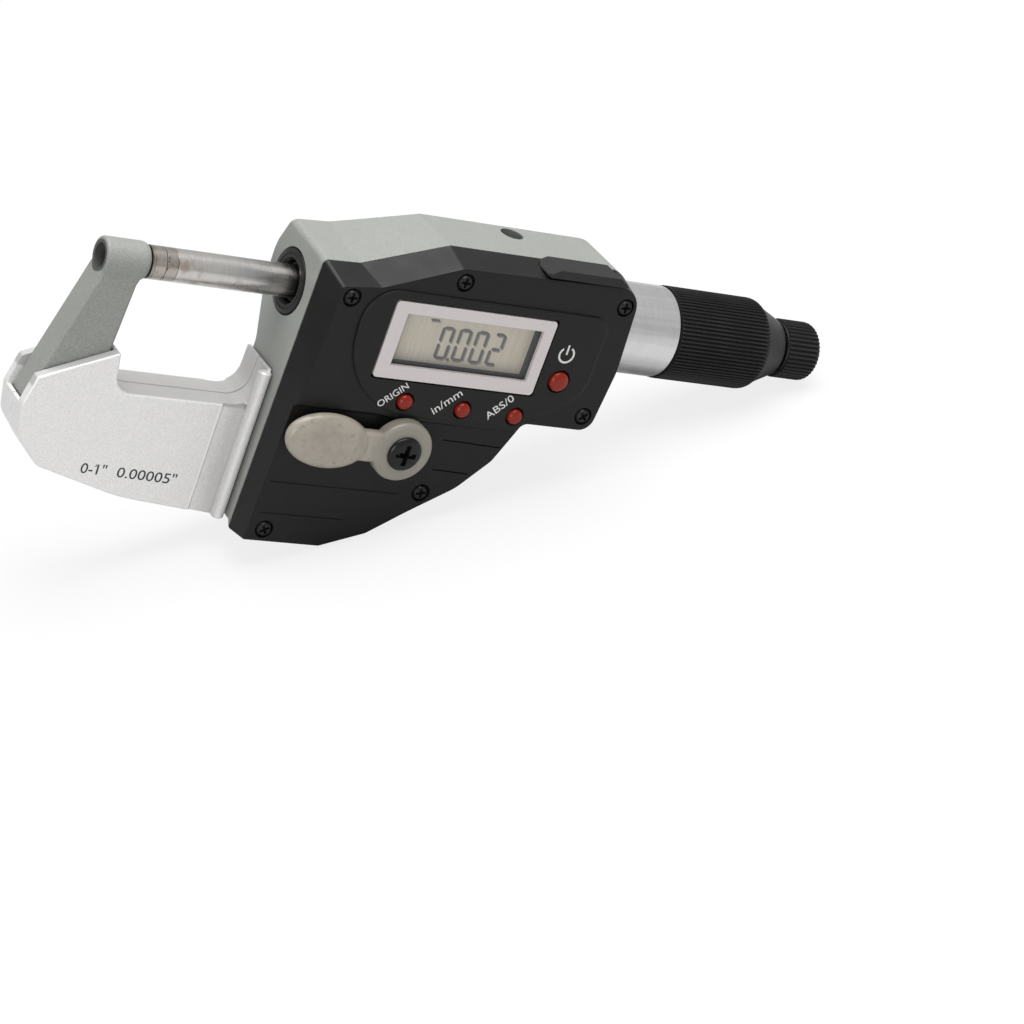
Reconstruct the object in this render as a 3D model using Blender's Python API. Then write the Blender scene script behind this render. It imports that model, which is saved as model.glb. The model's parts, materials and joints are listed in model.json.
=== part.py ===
"""Digital outside micrometer, one inch of travel, standing on its lower edge and its ratchet knob.

Every size below is in millimetres. The tool is modelled with its spindle along +X, its front
facing -Y and its zero at the anvil's face, and an empty tips it into the position it stands in.
"""

import math

import bmesh
import bpy
from mathutils import Matrix, Vector

MM = 0.001

# Clearances
SEAT = 0.3
RUN = 0.15
FACE_GAP = 0.1

# Spindle and anvil
TRAVEL = 25.4
SPINDLE_RADIUS = 3.25
SPINDLE_END = 91.8
TIP_LENGTH = 2.3
BRAZE_GAP = 0.05
SHANK_RADIUS = 2.1
SHANK_END = -11.0

# Arm and bow of the frame
ARM_HALF = 3.2
BOSS_RADIUS = 3.75
BOSS_LEFT = -12.5
BOSS_RIGHT = -3.0
BOW_FLOOR = -26.8
BOW_BOTTOM = -45.4

# Body housing and cover, seen from the front
BODY_LEFT = 27.6
BODY_RIGHT = 96.6
BODY_TOP = 16.5
BODY_BOTTOM = -49.2
NOSE_TOP = 10.6
STEP_X = 35.3
RISE_X = 52.6
NECK_X = 79.6
NECK_Z = -17.4
BEND_X = 75.9
BEND_Z = -25.9
KNEE_X = 70.0
KNEE_Z = -33.1
REST_X = 44.0
REST_LENGTH = 10.4

# Body housing and cover, in depth
FRAME_FRONT = -10.7
BODY_BACK = 9.3
WEB_BACK = 5.0
COVER_FRONT = -17.4
COVER_DRAFT = 0.7
COVER_EDGE = 0.6
COVER_SKIN = 1.8
SURROUND_RISE = 0.5
WALL = 2.6
POCKET_BACK = 3.7
LOWER_POCKET_BACK = -3.5
SHELF_Z = -15.5

# Spindle bush and seal
BUSH_FLANGE_RADIUS = 6.85
BUSH_FLANGE = 1.1
BUSH_RADIUS = 5.0
BUSH_END = 38.0
SEAL_RADIUS = 4.2

# Sleeve, measuring screw and nut
BARREL_RADIUS = 7.8
SLEEVE_RADIUS = BARREL_RADIUS + 1.67
SLEEVE_LEFT = 94.3
SLEEVE_STEP = 113.9
BARREL_END = 137.0
SPIGOT_RADIUS = 7.0
SPIGOT_LEFT = 88.3
NUT_RADIUS = 5.1
NUT_LEFT = 118.0
NUT_RIGHT = 133.7
SCREW_RADIUS = 3.4

# Thimble and ratchet knob
THIMBLE_LEFT = 114.25
THIMBLE_RADIUS = BARREL_RADIUS + SEAT + 1.57
KNURL_DEPTH = 0.28
KNURL_RIBS = 88
KNURL_END = 137.4
CONE_END = 143.6
CONE_RADIUS = 6.0
STUB_RADIUS = 3.9
STUB_END = 149.0
KNOB_LEFT = 144.5
KNOB_END = 153.6
KNOB_RADIUS = 6.26
KNOB_RIBS = 46
KNOB_ROUND = 1.3
KNOB_WALL_LEFT = 151.0

# Silver shells on the bow
SHELL_HALF = 5.5
SHELL_EDGE = 0.5
SHELL_LEFT = -21.4
SHELL_RIGHT = 27.3
SHELL_BOTTOM = -49.5
SHELL_FLOOR = -25.2
SHELL_RIM_Z = -16.6
PARTING_GAP = 0.3
NOTCH_Z = -30.0
BEAD_X = 25.9
BEAD_RADIUS = 1.35
GROOVE_LEFT = 19.4
GROOVE_DEPTH = 0.7
PIN_RADIUS = 1.8
PIN_SPOTS = ((-10.0, -34.0), (6.0, -36.5), (20.0, -36.5))

# Display, buttons and labels
LCD_LEFT = 41.4
LCD_RIGHT = 78.0
LCD_LOW = -9.8
LCD_HIGH = 6.6
BEZEL_BORDER = 3.1
BUTTON_SPOTS = {
    "origin_button": (50.5, -14.4, 1.6),
    "unit_button": (63.75, -14.7, 1.6),
    "zero_button": (76.0, -14.8, 1.6),
    "power_button": (83.0, -6.1, 2.1),
}
BUTTON_TRAVEL = 0.4
BUTTON_RISE = 1.0

# Cover screws
COVER_SCREW_SPOTS = ((31.8, 5.65), (54.7, 11.85), (92.2, 11.3), (92.0, -13.2), (62.3, -34.5), (30.9, -45.8))
HEAD_RADIUS = 1.6
THREAD_RADIUS = 0.85

# Clamp lever
LEVER_X = 52.5
LEVER_Z = -24.1
LEVER_RADIUS = 6.4
LEVER_THICKNESS = 3.0
NECK_HALF = 3.3
PADDLE_X = 35.6
PADDLE_Z = -23.5
PADDLE_LONG = 9.2
PADDLE_WIDE = 5.8
PADDLE_DROOP = 4.0
LEVER_SCREW_RADIUS = 3.25
CAM_RADIUS = 3.0
CAM_LIFT = 0.25
CAM_THROW = 45.0
ROD_RADIUS = 1.3

# Encoder and anti-turn key
CARRIER_LEFT = 56.0
CARRIER_RIGHT = 62.0
SCALE_LEFT = 39.0
SCALE_FRONT = -7.1
READER_LEFT = 58.0
READER_RIGHT = 69.0
KEY_X = 72.4
KEY_RADIUS = 1.2
KEY_FOOT = 2.75
PLUG_RADIUS = 2.5

# Battery
BATTERY_X = 40.2
BATTERY_Z = -34.6
BATTERY_RADIUS = 10.0
BATTERY_THICKNESS = 3.2
CAP_RADIUS = 11.2
CAP_LEDGE = 2.0

# Data port
PORT_LEFT = 71.3
PORT_RIGHT = PORT_LEFT + 19.6
PORT_TOP = 17.4

ARC_STEPS = 3
ROUND_STEPS = 32
HIDDEN_STEPS = 20
SMALL_STEPS = 12

AXES = {
    "X": (Vector((1, 0, 0)), Vector((0, 1, 0)), Vector((0, 0, 1))),
    "Y": (Vector((0, 1, 0)), Vector((0, 0, 1)), Vector((1, 0, 0))),
    "Z": (Vector((0, 0, 1)), Vector((1, 0, 0)), Vector((0, 1, 0))),
}


# Outlines

def rounded(corners, steps=ARC_STEPS):
    """Points of a closed outline whose (across, up, radius) corners are rounded by arcs."""
    points = []
    for index, (across, up, radius) in enumerate(corners):
        here = Vector((across, up))
        if radius == 0:
            points.append(here)
            continue
        before = (Vector(corners[index - 1][:2]) - here).normalized()
        after = (Vector(corners[(index + 1) % len(corners)][:2]) - here).normalized()
        half = before.angle(after) / 2
        middle = here + (before + after).normalized() * radius / math.sin(half)
        start = here + before * radius / math.tan(half) - middle
        end = here + after * radius / math.tan(half) - middle
        sweep = math.atan2(start.x * end.y - start.y * end.x, start.dot(end))
        for step in range(steps + 1):
            points.append(middle + Matrix.Rotation(sweep * step / steps, 2) @ start)
    return points


def inset(corners, distance):
    """The same corners with every side moved inwards, or outwards where the distance is negative."""
    count = len(corners)
    area = sum(
        corners[i - 1][0] * corners[i][1] - corners[i][0] * corners[i - 1][1] for i in range(count)
    )
    turn = 1 if area > 0 else -1
    result = []
    for index, (across, up, radius) in enumerate(corners):
        here = Vector((across, up))
        arrive = (here - Vector(corners[index - 1][:2])).normalized()
        leave = (Vector(corners[(index + 1) % count][:2]) - here).normalized()
        inward_in = Vector((-arrive.y, arrive.x)) * turn
        inward_out = Vector((-leave.y, leave.x)) * turn
        moved = here + (inward_in + inward_out) * distance / (1 + inward_in.dot(inward_out))
        convex = (arrive.x * leave.y - arrive.y * leave.x) * turn > 0
        if radius:
            radius = max(radius - distance if convex else radius + distance, 0.1)
        result.append((moved.x, moved.y, radius))
    return result


def rectangle(left, right, low, high, radius=0.0):
    return [(left, low, radius), (right, low, radius), (right, high, radius), (left, high, radius)]


def stand_angle():
    """Tilt at which the body's lower edge and the knob touch the same floor."""
    return math.atan2(-KNOB_RADIUS - BODY_BOTTOM, KNOB_END - KNOB_ROUND - REST_X)


def body_corners():
    """Outline of the housing from the front, with its rest edge parallel to the floor."""
    tilt = stand_angle()
    rest_end = (REST_X + REST_LENGTH * math.cos(tilt), BODY_BOTTOM + REST_LENGTH * math.sin(tilt))
    return [
        (BODY_LEFT, NOSE_TOP, 1.5),
        (STEP_X, NOSE_TOP + 0.6, 2.0),
        (RISE_X, BODY_TOP, 2.0),
        (BODY_RIGHT - 1.0, BODY_TOP, 4.5),
        (BODY_RIGHT + 0.4, -2.5, 20.0),
        (BODY_RIGHT - 1.0, NECK_Z, 4.0),
        (NECK_X, NECK_Z, 1.0),
        (BEND_X, BEND_Z, 6.0),
        (KNEE_X, KNEE_Z, 12.0),
        (rest_end[0], rest_end[1], 4.0),
        (REST_X, BODY_BOTTOM, 2.0),
        (BODY_LEFT, BODY_BOTTOM, 0.8),
    ]


def bow_corners():
    """Outline of the arm and bow, one cast piece that runs on into the housing."""
    inside = BODY_LEFT + 6.0
    return [
        (BOSS_LEFT, 0.0, 0.0),
        (BOSS_LEFT, -1.8, 1.0),
        (-20.4, NOTCH_Z + 1.0, 2.0),
        (-18.6, -36.2, 4.0),
        (-13.4, -40.6, 4.0),
        (5.0, BOW_BOTTOM, 30.0),
        (inside, BOW_BOTTOM - 1.4, 0.0),
        (inside, BOW_FLOOR, 0.0),
        (-5.0, BOW_FLOOR, 4.0),
        (-5.7, -18.0, 2.0),
        (-4.7, -4.0, 2.0),
        (BOSS_RIGHT - 0.3, 0.0, 0.0),
    ]


def shell_corners():
    """Outline of the silver shells, wrapped round the bow with a thin wall."""
    return [
        (SHELL_LEFT + 1.5, -23.9, 0.8),
        (SHELL_LEFT, NOTCH_Z, 3.0),
        (SHELL_LEFT + 1.0, -36.0, 5.0),
        (-14.9, -42.4, 5.0),
        (4.0, SHELL_BOTTOM + 2.1, 40.0),
        (SHELL_RIGHT, SHELL_BOTTOM, 0.5),
        (SHELL_RIGHT, SHELL_RIM_Z, 0.2),
        (SHELL_RIGHT - 0.8, SHELL_RIM_Z, 0.2),
        (SHELL_RIGHT - 1.1, SHELL_FLOOR, 4.5),
        (-3.4, SHELL_FLOOR, 4.0),
        (-4.75, -17.0, 0.3),
    ]


# Solids

def solid(bm):
    """Object of a finished bmesh, with its faces turned outwards."""
    bmesh.ops.recalc_face_normals(bm, faces=bm.faces)
    mesh = bpy.data.meshes.new("solid")
    bm.to_mesh(mesh)
    bm.free()
    obj = bpy.data.objects.new("solid", mesh)
    bpy.context.collection.objects.link(obj)
    return obj


def skin(loops):
    """Solid through rings of equally many points, closed by a face at each end."""
    bm = bmesh.new()
    rings = [[bm.verts.new(point) for point in loop] for loop in loops]
    bm.faces.new(rings[0])
    bm.faces.new(rings[-1])
    for ring, following in zip(rings, rings[1:]):
        for index in range(len(ring)):
            bm.faces.new((ring[index - 1], ring[index], following[index], following[index - 1]))
    return solid(bm)


def loft(*sections):
    """Solid through outlines seen from the front, each (depth, corners) at its own depth."""
    return skin([[(p.x, depth, p.y) for p in rounded(corners)] for depth, corners in sections])


def prism(corners, front, back):
    return loft((front, corners), (back, corners))


def bar(corners, left, right):
    """Solid whose (depth, up) section runs along the spindle's direction."""
    points = rounded(corners)
    return skin([[(across, p.x, p.y) for p in points] for across in (left, right)])


def column(corners, low, high):
    """Solid whose (across, depth) section runs upwards."""
    points = rounded(corners)
    return skin([[(p.x, p.y, up) for p in points] for up in (low, high)])


def turned(profile, axis="X", centre=(0.0, 0.0, 0.0), steps=ROUND_STEPS):
    """Solid of revolution through (along, radius) points; a profile off the axis closes on itself."""
    along, side, other = AXES[axis]
    bm = bmesh.new()
    rings = []
    for distance, radius in profile:
        middle = Vector(centre) + along * distance
        if radius == 0:
            rings.append([bm.verts.new(middle)])
            continue
        angles = [2 * math.pi * step / steps for step in range(steps)]
        rings.append(
            [bm.verts.new(middle + (side * math.cos(a) + other * math.sin(a)) * radius) for a in angles]
        )
    pairs = list(zip(rings, rings[1:]))
    if profile[0][1] != 0:
        pairs.append((rings[-1], rings[0]))
    for ring, following in pairs:
        for step in range(steps):
            corners = [
                ring[step - 1 if len(ring) > 1 else 0],
                ring[step if len(ring) > 1 else 0],
                following[step if len(following) > 1 else 0],
                following[step - 1 if len(following) > 1 else 0],
            ]
            bm.faces.new(list(dict.fromkeys(corners)))
    return solid(bm)


def rod(axis, centre, radius, start, end, steps=SMALL_STEPS):
    """Plain cylinder along an axis, from start to end measured from its centre point."""
    return turned([(start, 0), (start, radius), (end, radius), (end, 0)], axis, centre, steps)


def tube(left, right, outer, inner, steps=HIDDEN_STEPS):
    """Plain ring or tube on the spindle's axis."""
    return turned([(left, inner), (left, outer), (right, outer), (right, inner)], steps=steps)


def knurled(left, right, radius, ribs, lead_in, rounding):
    """Solid bar on the spindle's axis with straight ribs, lead-in at the left, rounded at the right."""

    def ring(across, crest, root):
        points = []
        for edge in range(2 * ribs):
            angle = math.pi * edge / ribs
            reach = root if edge % 2 else crest
            points.append((across, reach * math.cos(angle), reach * math.sin(angle)))
        return points

    root = radius - KNURL_DEPTH
    return skin([
        ring(left, root - 0.1, root - 0.1),
        ring(left + lead_in, radius, root),
        ring(right - rounding, radius, root),
        ring(right, radius - rounding, radius - rounding),
    ])


def bake(obj):
    """Replace an object's mesh with what its modifiers make of it."""
    bpy.context.view_layer.update()
    graph = bpy.context.evaluated_depsgraph_get()
    mesh = bpy.data.meshes.new_from_object(obj.evaluated_get(graph))
    obj.modifiers.clear()
    obj.data = mesh


def combine(target, operation, tools):
    for tool in tools:
        change = target.modifiers.new(operation.title(), "BOOLEAN")
        change.operation = operation
        change.solver = "EXACT"
        change.object = tool
    bake(target)
    for tool in tools:
        bpy.data.objects.remove(tool, do_unlink=True)
    return target


def cut(target, *tools):
    return combine(target, "DIFFERENCE", tools)


def fuse(target, *tools):
    return combine(target, "UNION", tools)


def trim(target, *tools):
    return combine(target, "INTERSECT", tools)


def soften(target, width, angle=35.0, segments=1):
    """Round every edge that is sharper than the angle, as a casting or moulding is."""
    change = target.modifiers.new("Bevel", "BEVEL")
    change.width = width
    change.segments = segments
    change.limit_method = "ANGLE"
    change.angle_limit = math.radians(angle)
    bake(target)
    return target


def finish(name, obj, stand, colour, roughness, metallic, pivot=(0.0, 0.0, 0.0)):
    """Name a piece, bring it to metres, set its origin on its pivot and give it its material."""
    bm = bmesh.new()
    bm.from_mesh(obj.data)
    bmesh.ops.remove_doubles(bm, verts=bm.verts, dist=0.002)
    bmesh.ops.dissolve_degenerate(bm, edges=bm.edges, dist=0.002)
    bm.to_mesh(obj.data)
    bm.free()
    obj.data.transform(Matrix.Scale(MM, 4) @ Matrix.Translation(-Vector(pivot)))
    obj.location = Vector(pivot) * MM
    obj.parent = stand
    obj.name = name
    obj.data.name = name
    obj.data.shade_smooth()
    obj.data.set_sharp_from_angle(angle=math.radians(30))
    material = bpy.data.materials.new(name)
    material.use_nodes = True
    shader = material.node_tree.nodes["Principled BSDF"]
    shader.inputs["Base Color"].default_value = (*colour, 1.0)
    shader.inputs["Roughness"].default_value = roughness
    shader.inputs["Metallic"].default_value = metallic
    obj.data.materials.clear()
    obj.data.materials.append(material)
    return obj


CAST_GREY = (0.42, 0.45, 0.42)
STEEL = (0.55, 0.54, 0.52)
CARBIDE = (0.36, 0.35, 0.34)
BRASS = (0.62, 0.47, 0.2)
SILVER = (0.6, 0.61, 0.62)
BLACK = (0.02, 0.02, 0.021)
RUBBER = (0.03, 0.03, 0.03)
RED = (0.55, 0.03, 0.015)
MILK = (0.72, 0.7, 0.64)
BOARD_GREEN = (0.03, 0.18, 0.08)
LCD_GREY = (0.52, 0.51, 0.42)
GLASS = (0.8, 0.82, 0.82)


# Frame

def housing():
    """Cast body behind the cover: its front outline crossed with a section that swells at the spindle."""
    section = [
        (FRAME_FRONT - 4.0, BODY_TOP + 6.0, 0.0),
        (BODY_BACK - 8.6, BODY_TOP + 6.0, 0.0),
        (BODY_BACK, 4.0, 8.0),
        (BODY_BACK, -4.0, 8.0),
        (WEB_BACK, -15.0, 5.0),
        (WEB_BACK, BODY_BOTTOM - 2.0, 0.0),
        (FRAME_FRONT - 4.0, BODY_BOTTOM - 2.0, 0.0),
    ]
    body = prism(body_corners(), FRAME_FRONT - 3.0, BODY_BACK + 1.0)
    trim(body, bar(section, BODY_LEFT - 2.0, BODY_RIGHT + 3.0))
    soften(body, 0.7)
    frame_side = rectangle(BODY_LEFT - 5.0, BODY_RIGHT + 5.0, BODY_BOTTOM - 5.0, BODY_TOP + 5.0)
    return cut(body, prism(frame_side, FRAME_FRONT - 9.0, FRAME_FRONT))


def boss():
    """Round head of the arm, which holds the anvil."""
    return turned([
        (BOSS_LEFT, 0),
        (BOSS_LEFT, BOSS_RADIUS - 0.5),
        (BOSS_LEFT + 0.5, BOSS_RADIUS),
        (BOSS_RIGHT - 2.0, BOSS_RADIUS),
        (BOSS_RIGHT - 0.8, BOSS_RADIUS - 0.35),
        (BOSS_RIGHT - 0.1, BOSS_RADIUS - 1.1),
        (BOSS_RIGHT, BOSS_RADIUS - 1.5),
        (BOSS_RIGHT, 0),
    ])


def pocket_corners():
    """Hollow of the housing round the spindle, inside its walls."""
    inner = inset(body_corners(), WALL)
    left = BUSH_END + 0.7
    right = SPIGOT_LEFT + 0.7
    return [
        (left, NOSE_TOP - 1.8, 1.0),
        (inner[2][0], inner[2][1], 1.0),
        (right, inner[3][1], 1.0),
        (right, SHELF_Z, 1.0),
        (left, SHELF_Z, 1.0),
    ]


def lower_pocket_corners():
    """Shallower hollow in front of the battery and the clamp."""
    inner = inset(body_corners(), WALL)
    bend, knee, rest_end, rest, corner = inner[7:12]
    return [
        (corner[0], SHELF_Z + 1.0, 0.0),
        (bend[0] + 2.0, SHELF_Z + 1.0, 0.0),
        (bend[0], bend[1], 0.0),
        (knee[0], knee[1], 0.0),
        (rest_end[0], rest_end[1], 3.0),
        (rest[0], rest[1], 0.0),
        (corner[0], corner[1], 1.0),
    ]


def cover_screw_depth():
    return FRAME_FRONT + 4.6


def screw_posts(start, end):
    """Solid posts left standing in a hollow, one round each cover screw."""
    return [rod("Y", (x, 0, z), HEAD_RADIUS + 0.9, start, end) for x, z in COVER_SCREW_SPOTS]


def frame_hollow():
    """Both hollows of the housing as one cutter, less the posts for the cover's screws."""
    hollow = fuse(
        prism(pocket_corners(), FRAME_FRONT - 1.0, POCKET_BACK),
        prism(lower_pocket_corners(), FRAME_FRONT - 1.0, LOWER_POCKET_BACK),
    )
    return cut(hollow, *screw_posts(FRAME_FRONT - 2.0, LOWER_POCKET_BACK + 0.5))


def gasket_groove():
    outer = body_corners()
    return cut(
        prism(inset(outer, 0.8), FRAME_FRONT - 1.0, FRAME_FRONT + 1.1),
        prism(inset(outer, 1.9 + SEAT), FRAME_FRONT - 2.0, FRAME_FRONT + 2.0),
    )


def make_frame(stand):
    bow = soften(prism(bow_corners(), -ARM_HALF, ARM_HALF), 0.5)
    frame = fuse(housing(), bow, boss())
    holes = [
        rod("Y", (x, 0, z), THREAD_RADIUS + SEAT, FRAME_FRONT - 1.0, cover_screw_depth())
        for x, z in COVER_SCREW_SPOTS
    ]
    cut(frame, frame_hollow(), gasket_groove())
    cut(
        frame,
        *holes,
        rod("X", (0, 0, 0), SHANK_RADIUS + SEAT, BOSS_LEFT - 1.0, BOSS_RIGHT + 1.0, HIDDEN_STEPS),
        turned([
            (BODY_LEFT - 1.0, 0),
            (BODY_LEFT - 1.0, BUSH_FLANGE_RADIUS + SEAT),
            (BODY_LEFT + BUSH_FLANGE, BUSH_FLANGE_RADIUS + SEAT),
            (BODY_LEFT + BUSH_FLANGE, BUSH_RADIUS + SEAT),
            (BUSH_END + 1.5, BUSH_RADIUS + SEAT),
            (BUSH_END + 1.5, 0),
        ]),
        turned([
            (SPIGOT_LEFT - 0.5, 0),
            (SPIGOT_LEFT - 0.5, SPIGOT_RADIUS + SEAT),
            (SLEEVE_LEFT - SEAT, SPIGOT_RADIUS + SEAT),
            (SLEEVE_LEFT - SEAT, SLEEVE_RADIUS + SEAT),
            (BODY_RIGHT + 4.0, SLEEVE_RADIUS + SEAT),
            (BODY_RIGHT + 4.0, 0),
        ]),
        turned([
            (BODY_TOP - 6.0, 0),
            (BODY_TOP - 6.0, KEY_RADIUS + SEAT),
            (BODY_TOP - 1.7, KEY_RADIUS + SEAT),
            (BODY_TOP - 1.7, PLUG_RADIUS + SEAT),
            (BODY_TOP + 1.0, PLUG_RADIUS + SEAT),
            (BODY_TOP + 1.0, 0),
        ], "Z", (KEY_X, 0, 0), HIDDEN_STEPS),
        rod("Y", (LEVER_X, 0, LEVER_Z), CAM_RADIUS + SEAT, LOWER_POCKET_BACK - 1.0, ROD_RADIUS + 0.5, 24),
        rod("Z", (LEVER_X, 0, 0), ROD_RADIUS + SEAT, LEVER_Z + 1.0, SHELF_Z + 1.0),
        turned([
            (battery_floor(), 0),
            (battery_floor(), BATTERY_RADIUS + SEAT),
            (CAP_LEDGE, BATTERY_RADIUS + SEAT),
            (CAP_LEDGE, CAP_RADIUS + SEAT),
            (WEB_BACK + 2.0, CAP_RADIUS + SEAT),
            (WEB_BACK + 2.0, 0),
        ], "Y", (BATTERY_X, 0, BATTERY_Z)),
        *[rod("Y", (x, 0, z), PIN_RADIUS + SEAT, -ARM_HALF - 1.0, ARM_HALF + 1.0) for x, z in PIN_SPOTS],
    )
    finish("frame", frame, stand, CAST_GREY, 0.6, 0.1)


# Anvil, spindle and their guide

def make_anvil(stand):
    face = -FACE_GAP / 2
    collar = BOSS_RIGHT + 0.4
    shank = turned([
        (SHANK_END, 0),
        (SHANK_END, SHANK_RADIUS - 0.3),
        (SHANK_END + 0.3, SHANK_RADIUS),
        (collar, SHANK_RADIUS),
        (collar, SPINDLE_RADIUS),
        (face - TIP_LENGTH - BRAZE_GAP, SPINDLE_RADIUS),
        (face - TIP_LENGTH - BRAZE_GAP, 0),
    ])
    finish("anvil", shank, stand, STEEL, 0.3, 1.0)
    tip = rod("X", (0, 0, 0), SPINDLE_RADIUS, face - TIP_LENGTH, face, ROUND_STEPS)
    finish("anvil_tip", tip, stand, CARBIDE, 0.25, 1.0)


def make_spindle(stand):
    face = FACE_GAP / 2
    body = turned([
        (face + TIP_LENGTH + BRAZE_GAP, 0),
        (face + TIP_LENGTH + BRAZE_GAP, SPINDLE_RADIUS),
        (SPINDLE_END - 0.4, SPINDLE_RADIUS),
        (SPINDLE_END, SPINDLE_RADIUS - 0.4),
        (SPINDLE_END, 0),
    ])
    half = KEY_RADIUS + RUN
    groove = rectangle(KEY_X - TRAVEL - half - 0.2, KEY_X + half + 0.2, -half, half)
    cut(body, column(groove, KEY_FOOT - 2 * RUN, SPINDLE_RADIUS + 1.0))
    finish("spindle", body, stand, STEEL, 0.22, 1.0)
    tip = rod("X", (0, 0, 0), SPINDLE_RADIUS, face, face + TIP_LENGTH, ROUND_STEPS)
    finish("spindle_tip", tip, stand, CARBIDE, 0.25, 1.0)


def make_bush(stand):
    front = BODY_LEFT - 0.2
    seal_back = BODY_LEFT + 3.0
    bush = turned([
        (front, SEAL_RADIUS),
        (front, BUSH_FLANGE_RADIUS - 0.4),
        (front + 0.4, BUSH_FLANGE_RADIUS),
        (BODY_LEFT + BUSH_FLANGE - SEAT, BUSH_FLANGE_RADIUS),
        (BODY_LEFT + BUSH_FLANGE - SEAT, BUSH_RADIUS),
        (BUSH_END, BUSH_RADIUS),
        (BUSH_END, SPINDLE_RADIUS + RUN),
        (seal_back, SPINDLE_RADIUS + RUN),
        (seal_back, SEAL_RADIUS),
    ])
    finish("spindle_bush", bush, stand, BLACK, 0.5, 0.0)
    ring = tube(BODY_LEFT + 1.2, seal_back - SEAT, SEAL_RADIUS - SEAT, SPINDLE_RADIUS + RUN)
    finish("wiper_seal", ring, stand, RUBBER, 0.8, 0.0)


# Shells on the bow

def shell_half(side):
    """One half shell: drafted skin with a groove and a bead, hollowed to take the bow."""
    outer = shell_corners()
    edge = inset(outer, SHELL_EDGE)
    half = loft(
        (side * PARTING_GAP / 2, outer),
        (side * (SHELL_HALF - SHELL_EDGE), outer),
        (side * SHELL_HALF, edge),
    )
    groove = [
        (GROOVE_LEFT, side * SHELL_HALF, 0.0),
        (GROOVE_LEFT + 0.3, side * (SHELL_HALF - GROOVE_DEPTH), 0.3),
        (BEAD_X - 0.9, side * (SHELL_HALF - GROOVE_DEPTH), 0.3),
        (BEAD_X - 0.6, side * (SHELL_HALF + 1.0), 0.0),
        (GROOVE_LEFT, side * (SHELL_HALF + 1.0), 0.0),
    ]
    cut(half, column(groove, SHELL_BOTTOM - 1.0, SHELL_FLOOR + 0.6))
    bead = rod("Z", (BEAD_X, side * (SHELL_HALF - 0.3), 0), BEAD_RADIUS, SHELL_BOTTOM + 0.1, SHELL_RIM_Z - 0.4)
    fuse(half, bead)
    cavity = inset(bow_corners(), -SEAT)
    depth = side * (ARM_HALF + SEAT)
    notch = rectangle(SHELL_LEFT - 2.0, SHELL_LEFT + 6.0, NOTCH_Z, -20.0)
    cut(half, prism(cavity, -side, depth), prism(notch, -side, depth))
    return half


def make_shells(stand):
    front = shell_half(-1)
    pins = [rod("Y", (x, 0, z), PIN_RADIUS, -ARM_HALF - 1.2, 1.0) for x, z in PIN_SPOTS]
    fuse(front, *pins)
    sockets = [rod("Y", (x, 0, z), THREAD_RADIUS + RUN, -ARM_HALF - 0.2, 2.0) for x, z in PIN_SPOTS]
    cut(front, *sockets)
    finish("front_shell", front, stand, SILVER, 0.4, 0.8)
    rear = shell_half(1)
    holes = [
        turned([
            (ARM_HALF - 1.0, 0),
            (ARM_HALF - 1.0, THREAD_RADIUS + SEAT),
            (SHELL_HALF - HEAD_RADIUS + THREAD_RADIUS - 0.2, THREAD_RADIUS + SEAT),
            (SHELL_HALF - 0.2, HEAD_RADIUS + SEAT),
            (SHELL_HALF + 1.0, HEAD_RADIUS + SEAT),
            (SHELL_HALF + 1.0, 0),
        ], "Y", (x, 0, z), SMALL_STEPS)
        for x, z in PIN_SPOTS
    ]
    cut(rear, *holes)
    finish("rear_shell", rear, stand, SILVER, 0.4, 0.8)
    for number, (x, z) in enumerate(PIN_SPOTS, 1):
        screw = turned([
            (-ARM_HALF + 0.8, 0),
            (-ARM_HALF + 0.8, THREAD_RADIUS),
            (SHELL_HALF - HEAD_RADIUS + THREAD_RADIUS, THREAD_RADIUS),
            (SHELL_HALF, HEAD_RADIUS),
            (SHELL_HALF, 0),
        ], "Y", (x, 0, z), SMALL_STEPS)
        finish(f"shell_screw_{number}", screw, stand, BLACK, 0.4, 0.8)


# Cover, display and buttons

def cover_back():
    return FRAME_FRONT - SEAT


def cover_inside():
    """Depth of the inner face of the cover's front wall."""
    return COVER_FRONT + COVER_SKIN


def surround_corners():
    return [
        (35.7, 8.6, 7.0),
        (35.7, NECK_Z + 0.2, 11.0),
        (NECK_X + 0.2, NECK_Z + 0.2, 0.0),
        (NECK_X + 0.8, NECK_Z + 1.5, 0.0),
        (89.8, NECK_Z + 1.5, 3.0),
        (89.8, 8.6, 3.5),
    ]


def display_corners():
    return rectangle(LCD_LEFT, LCD_RIGHT, LCD_LOW, LCD_HIGH, 0.4)


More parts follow.
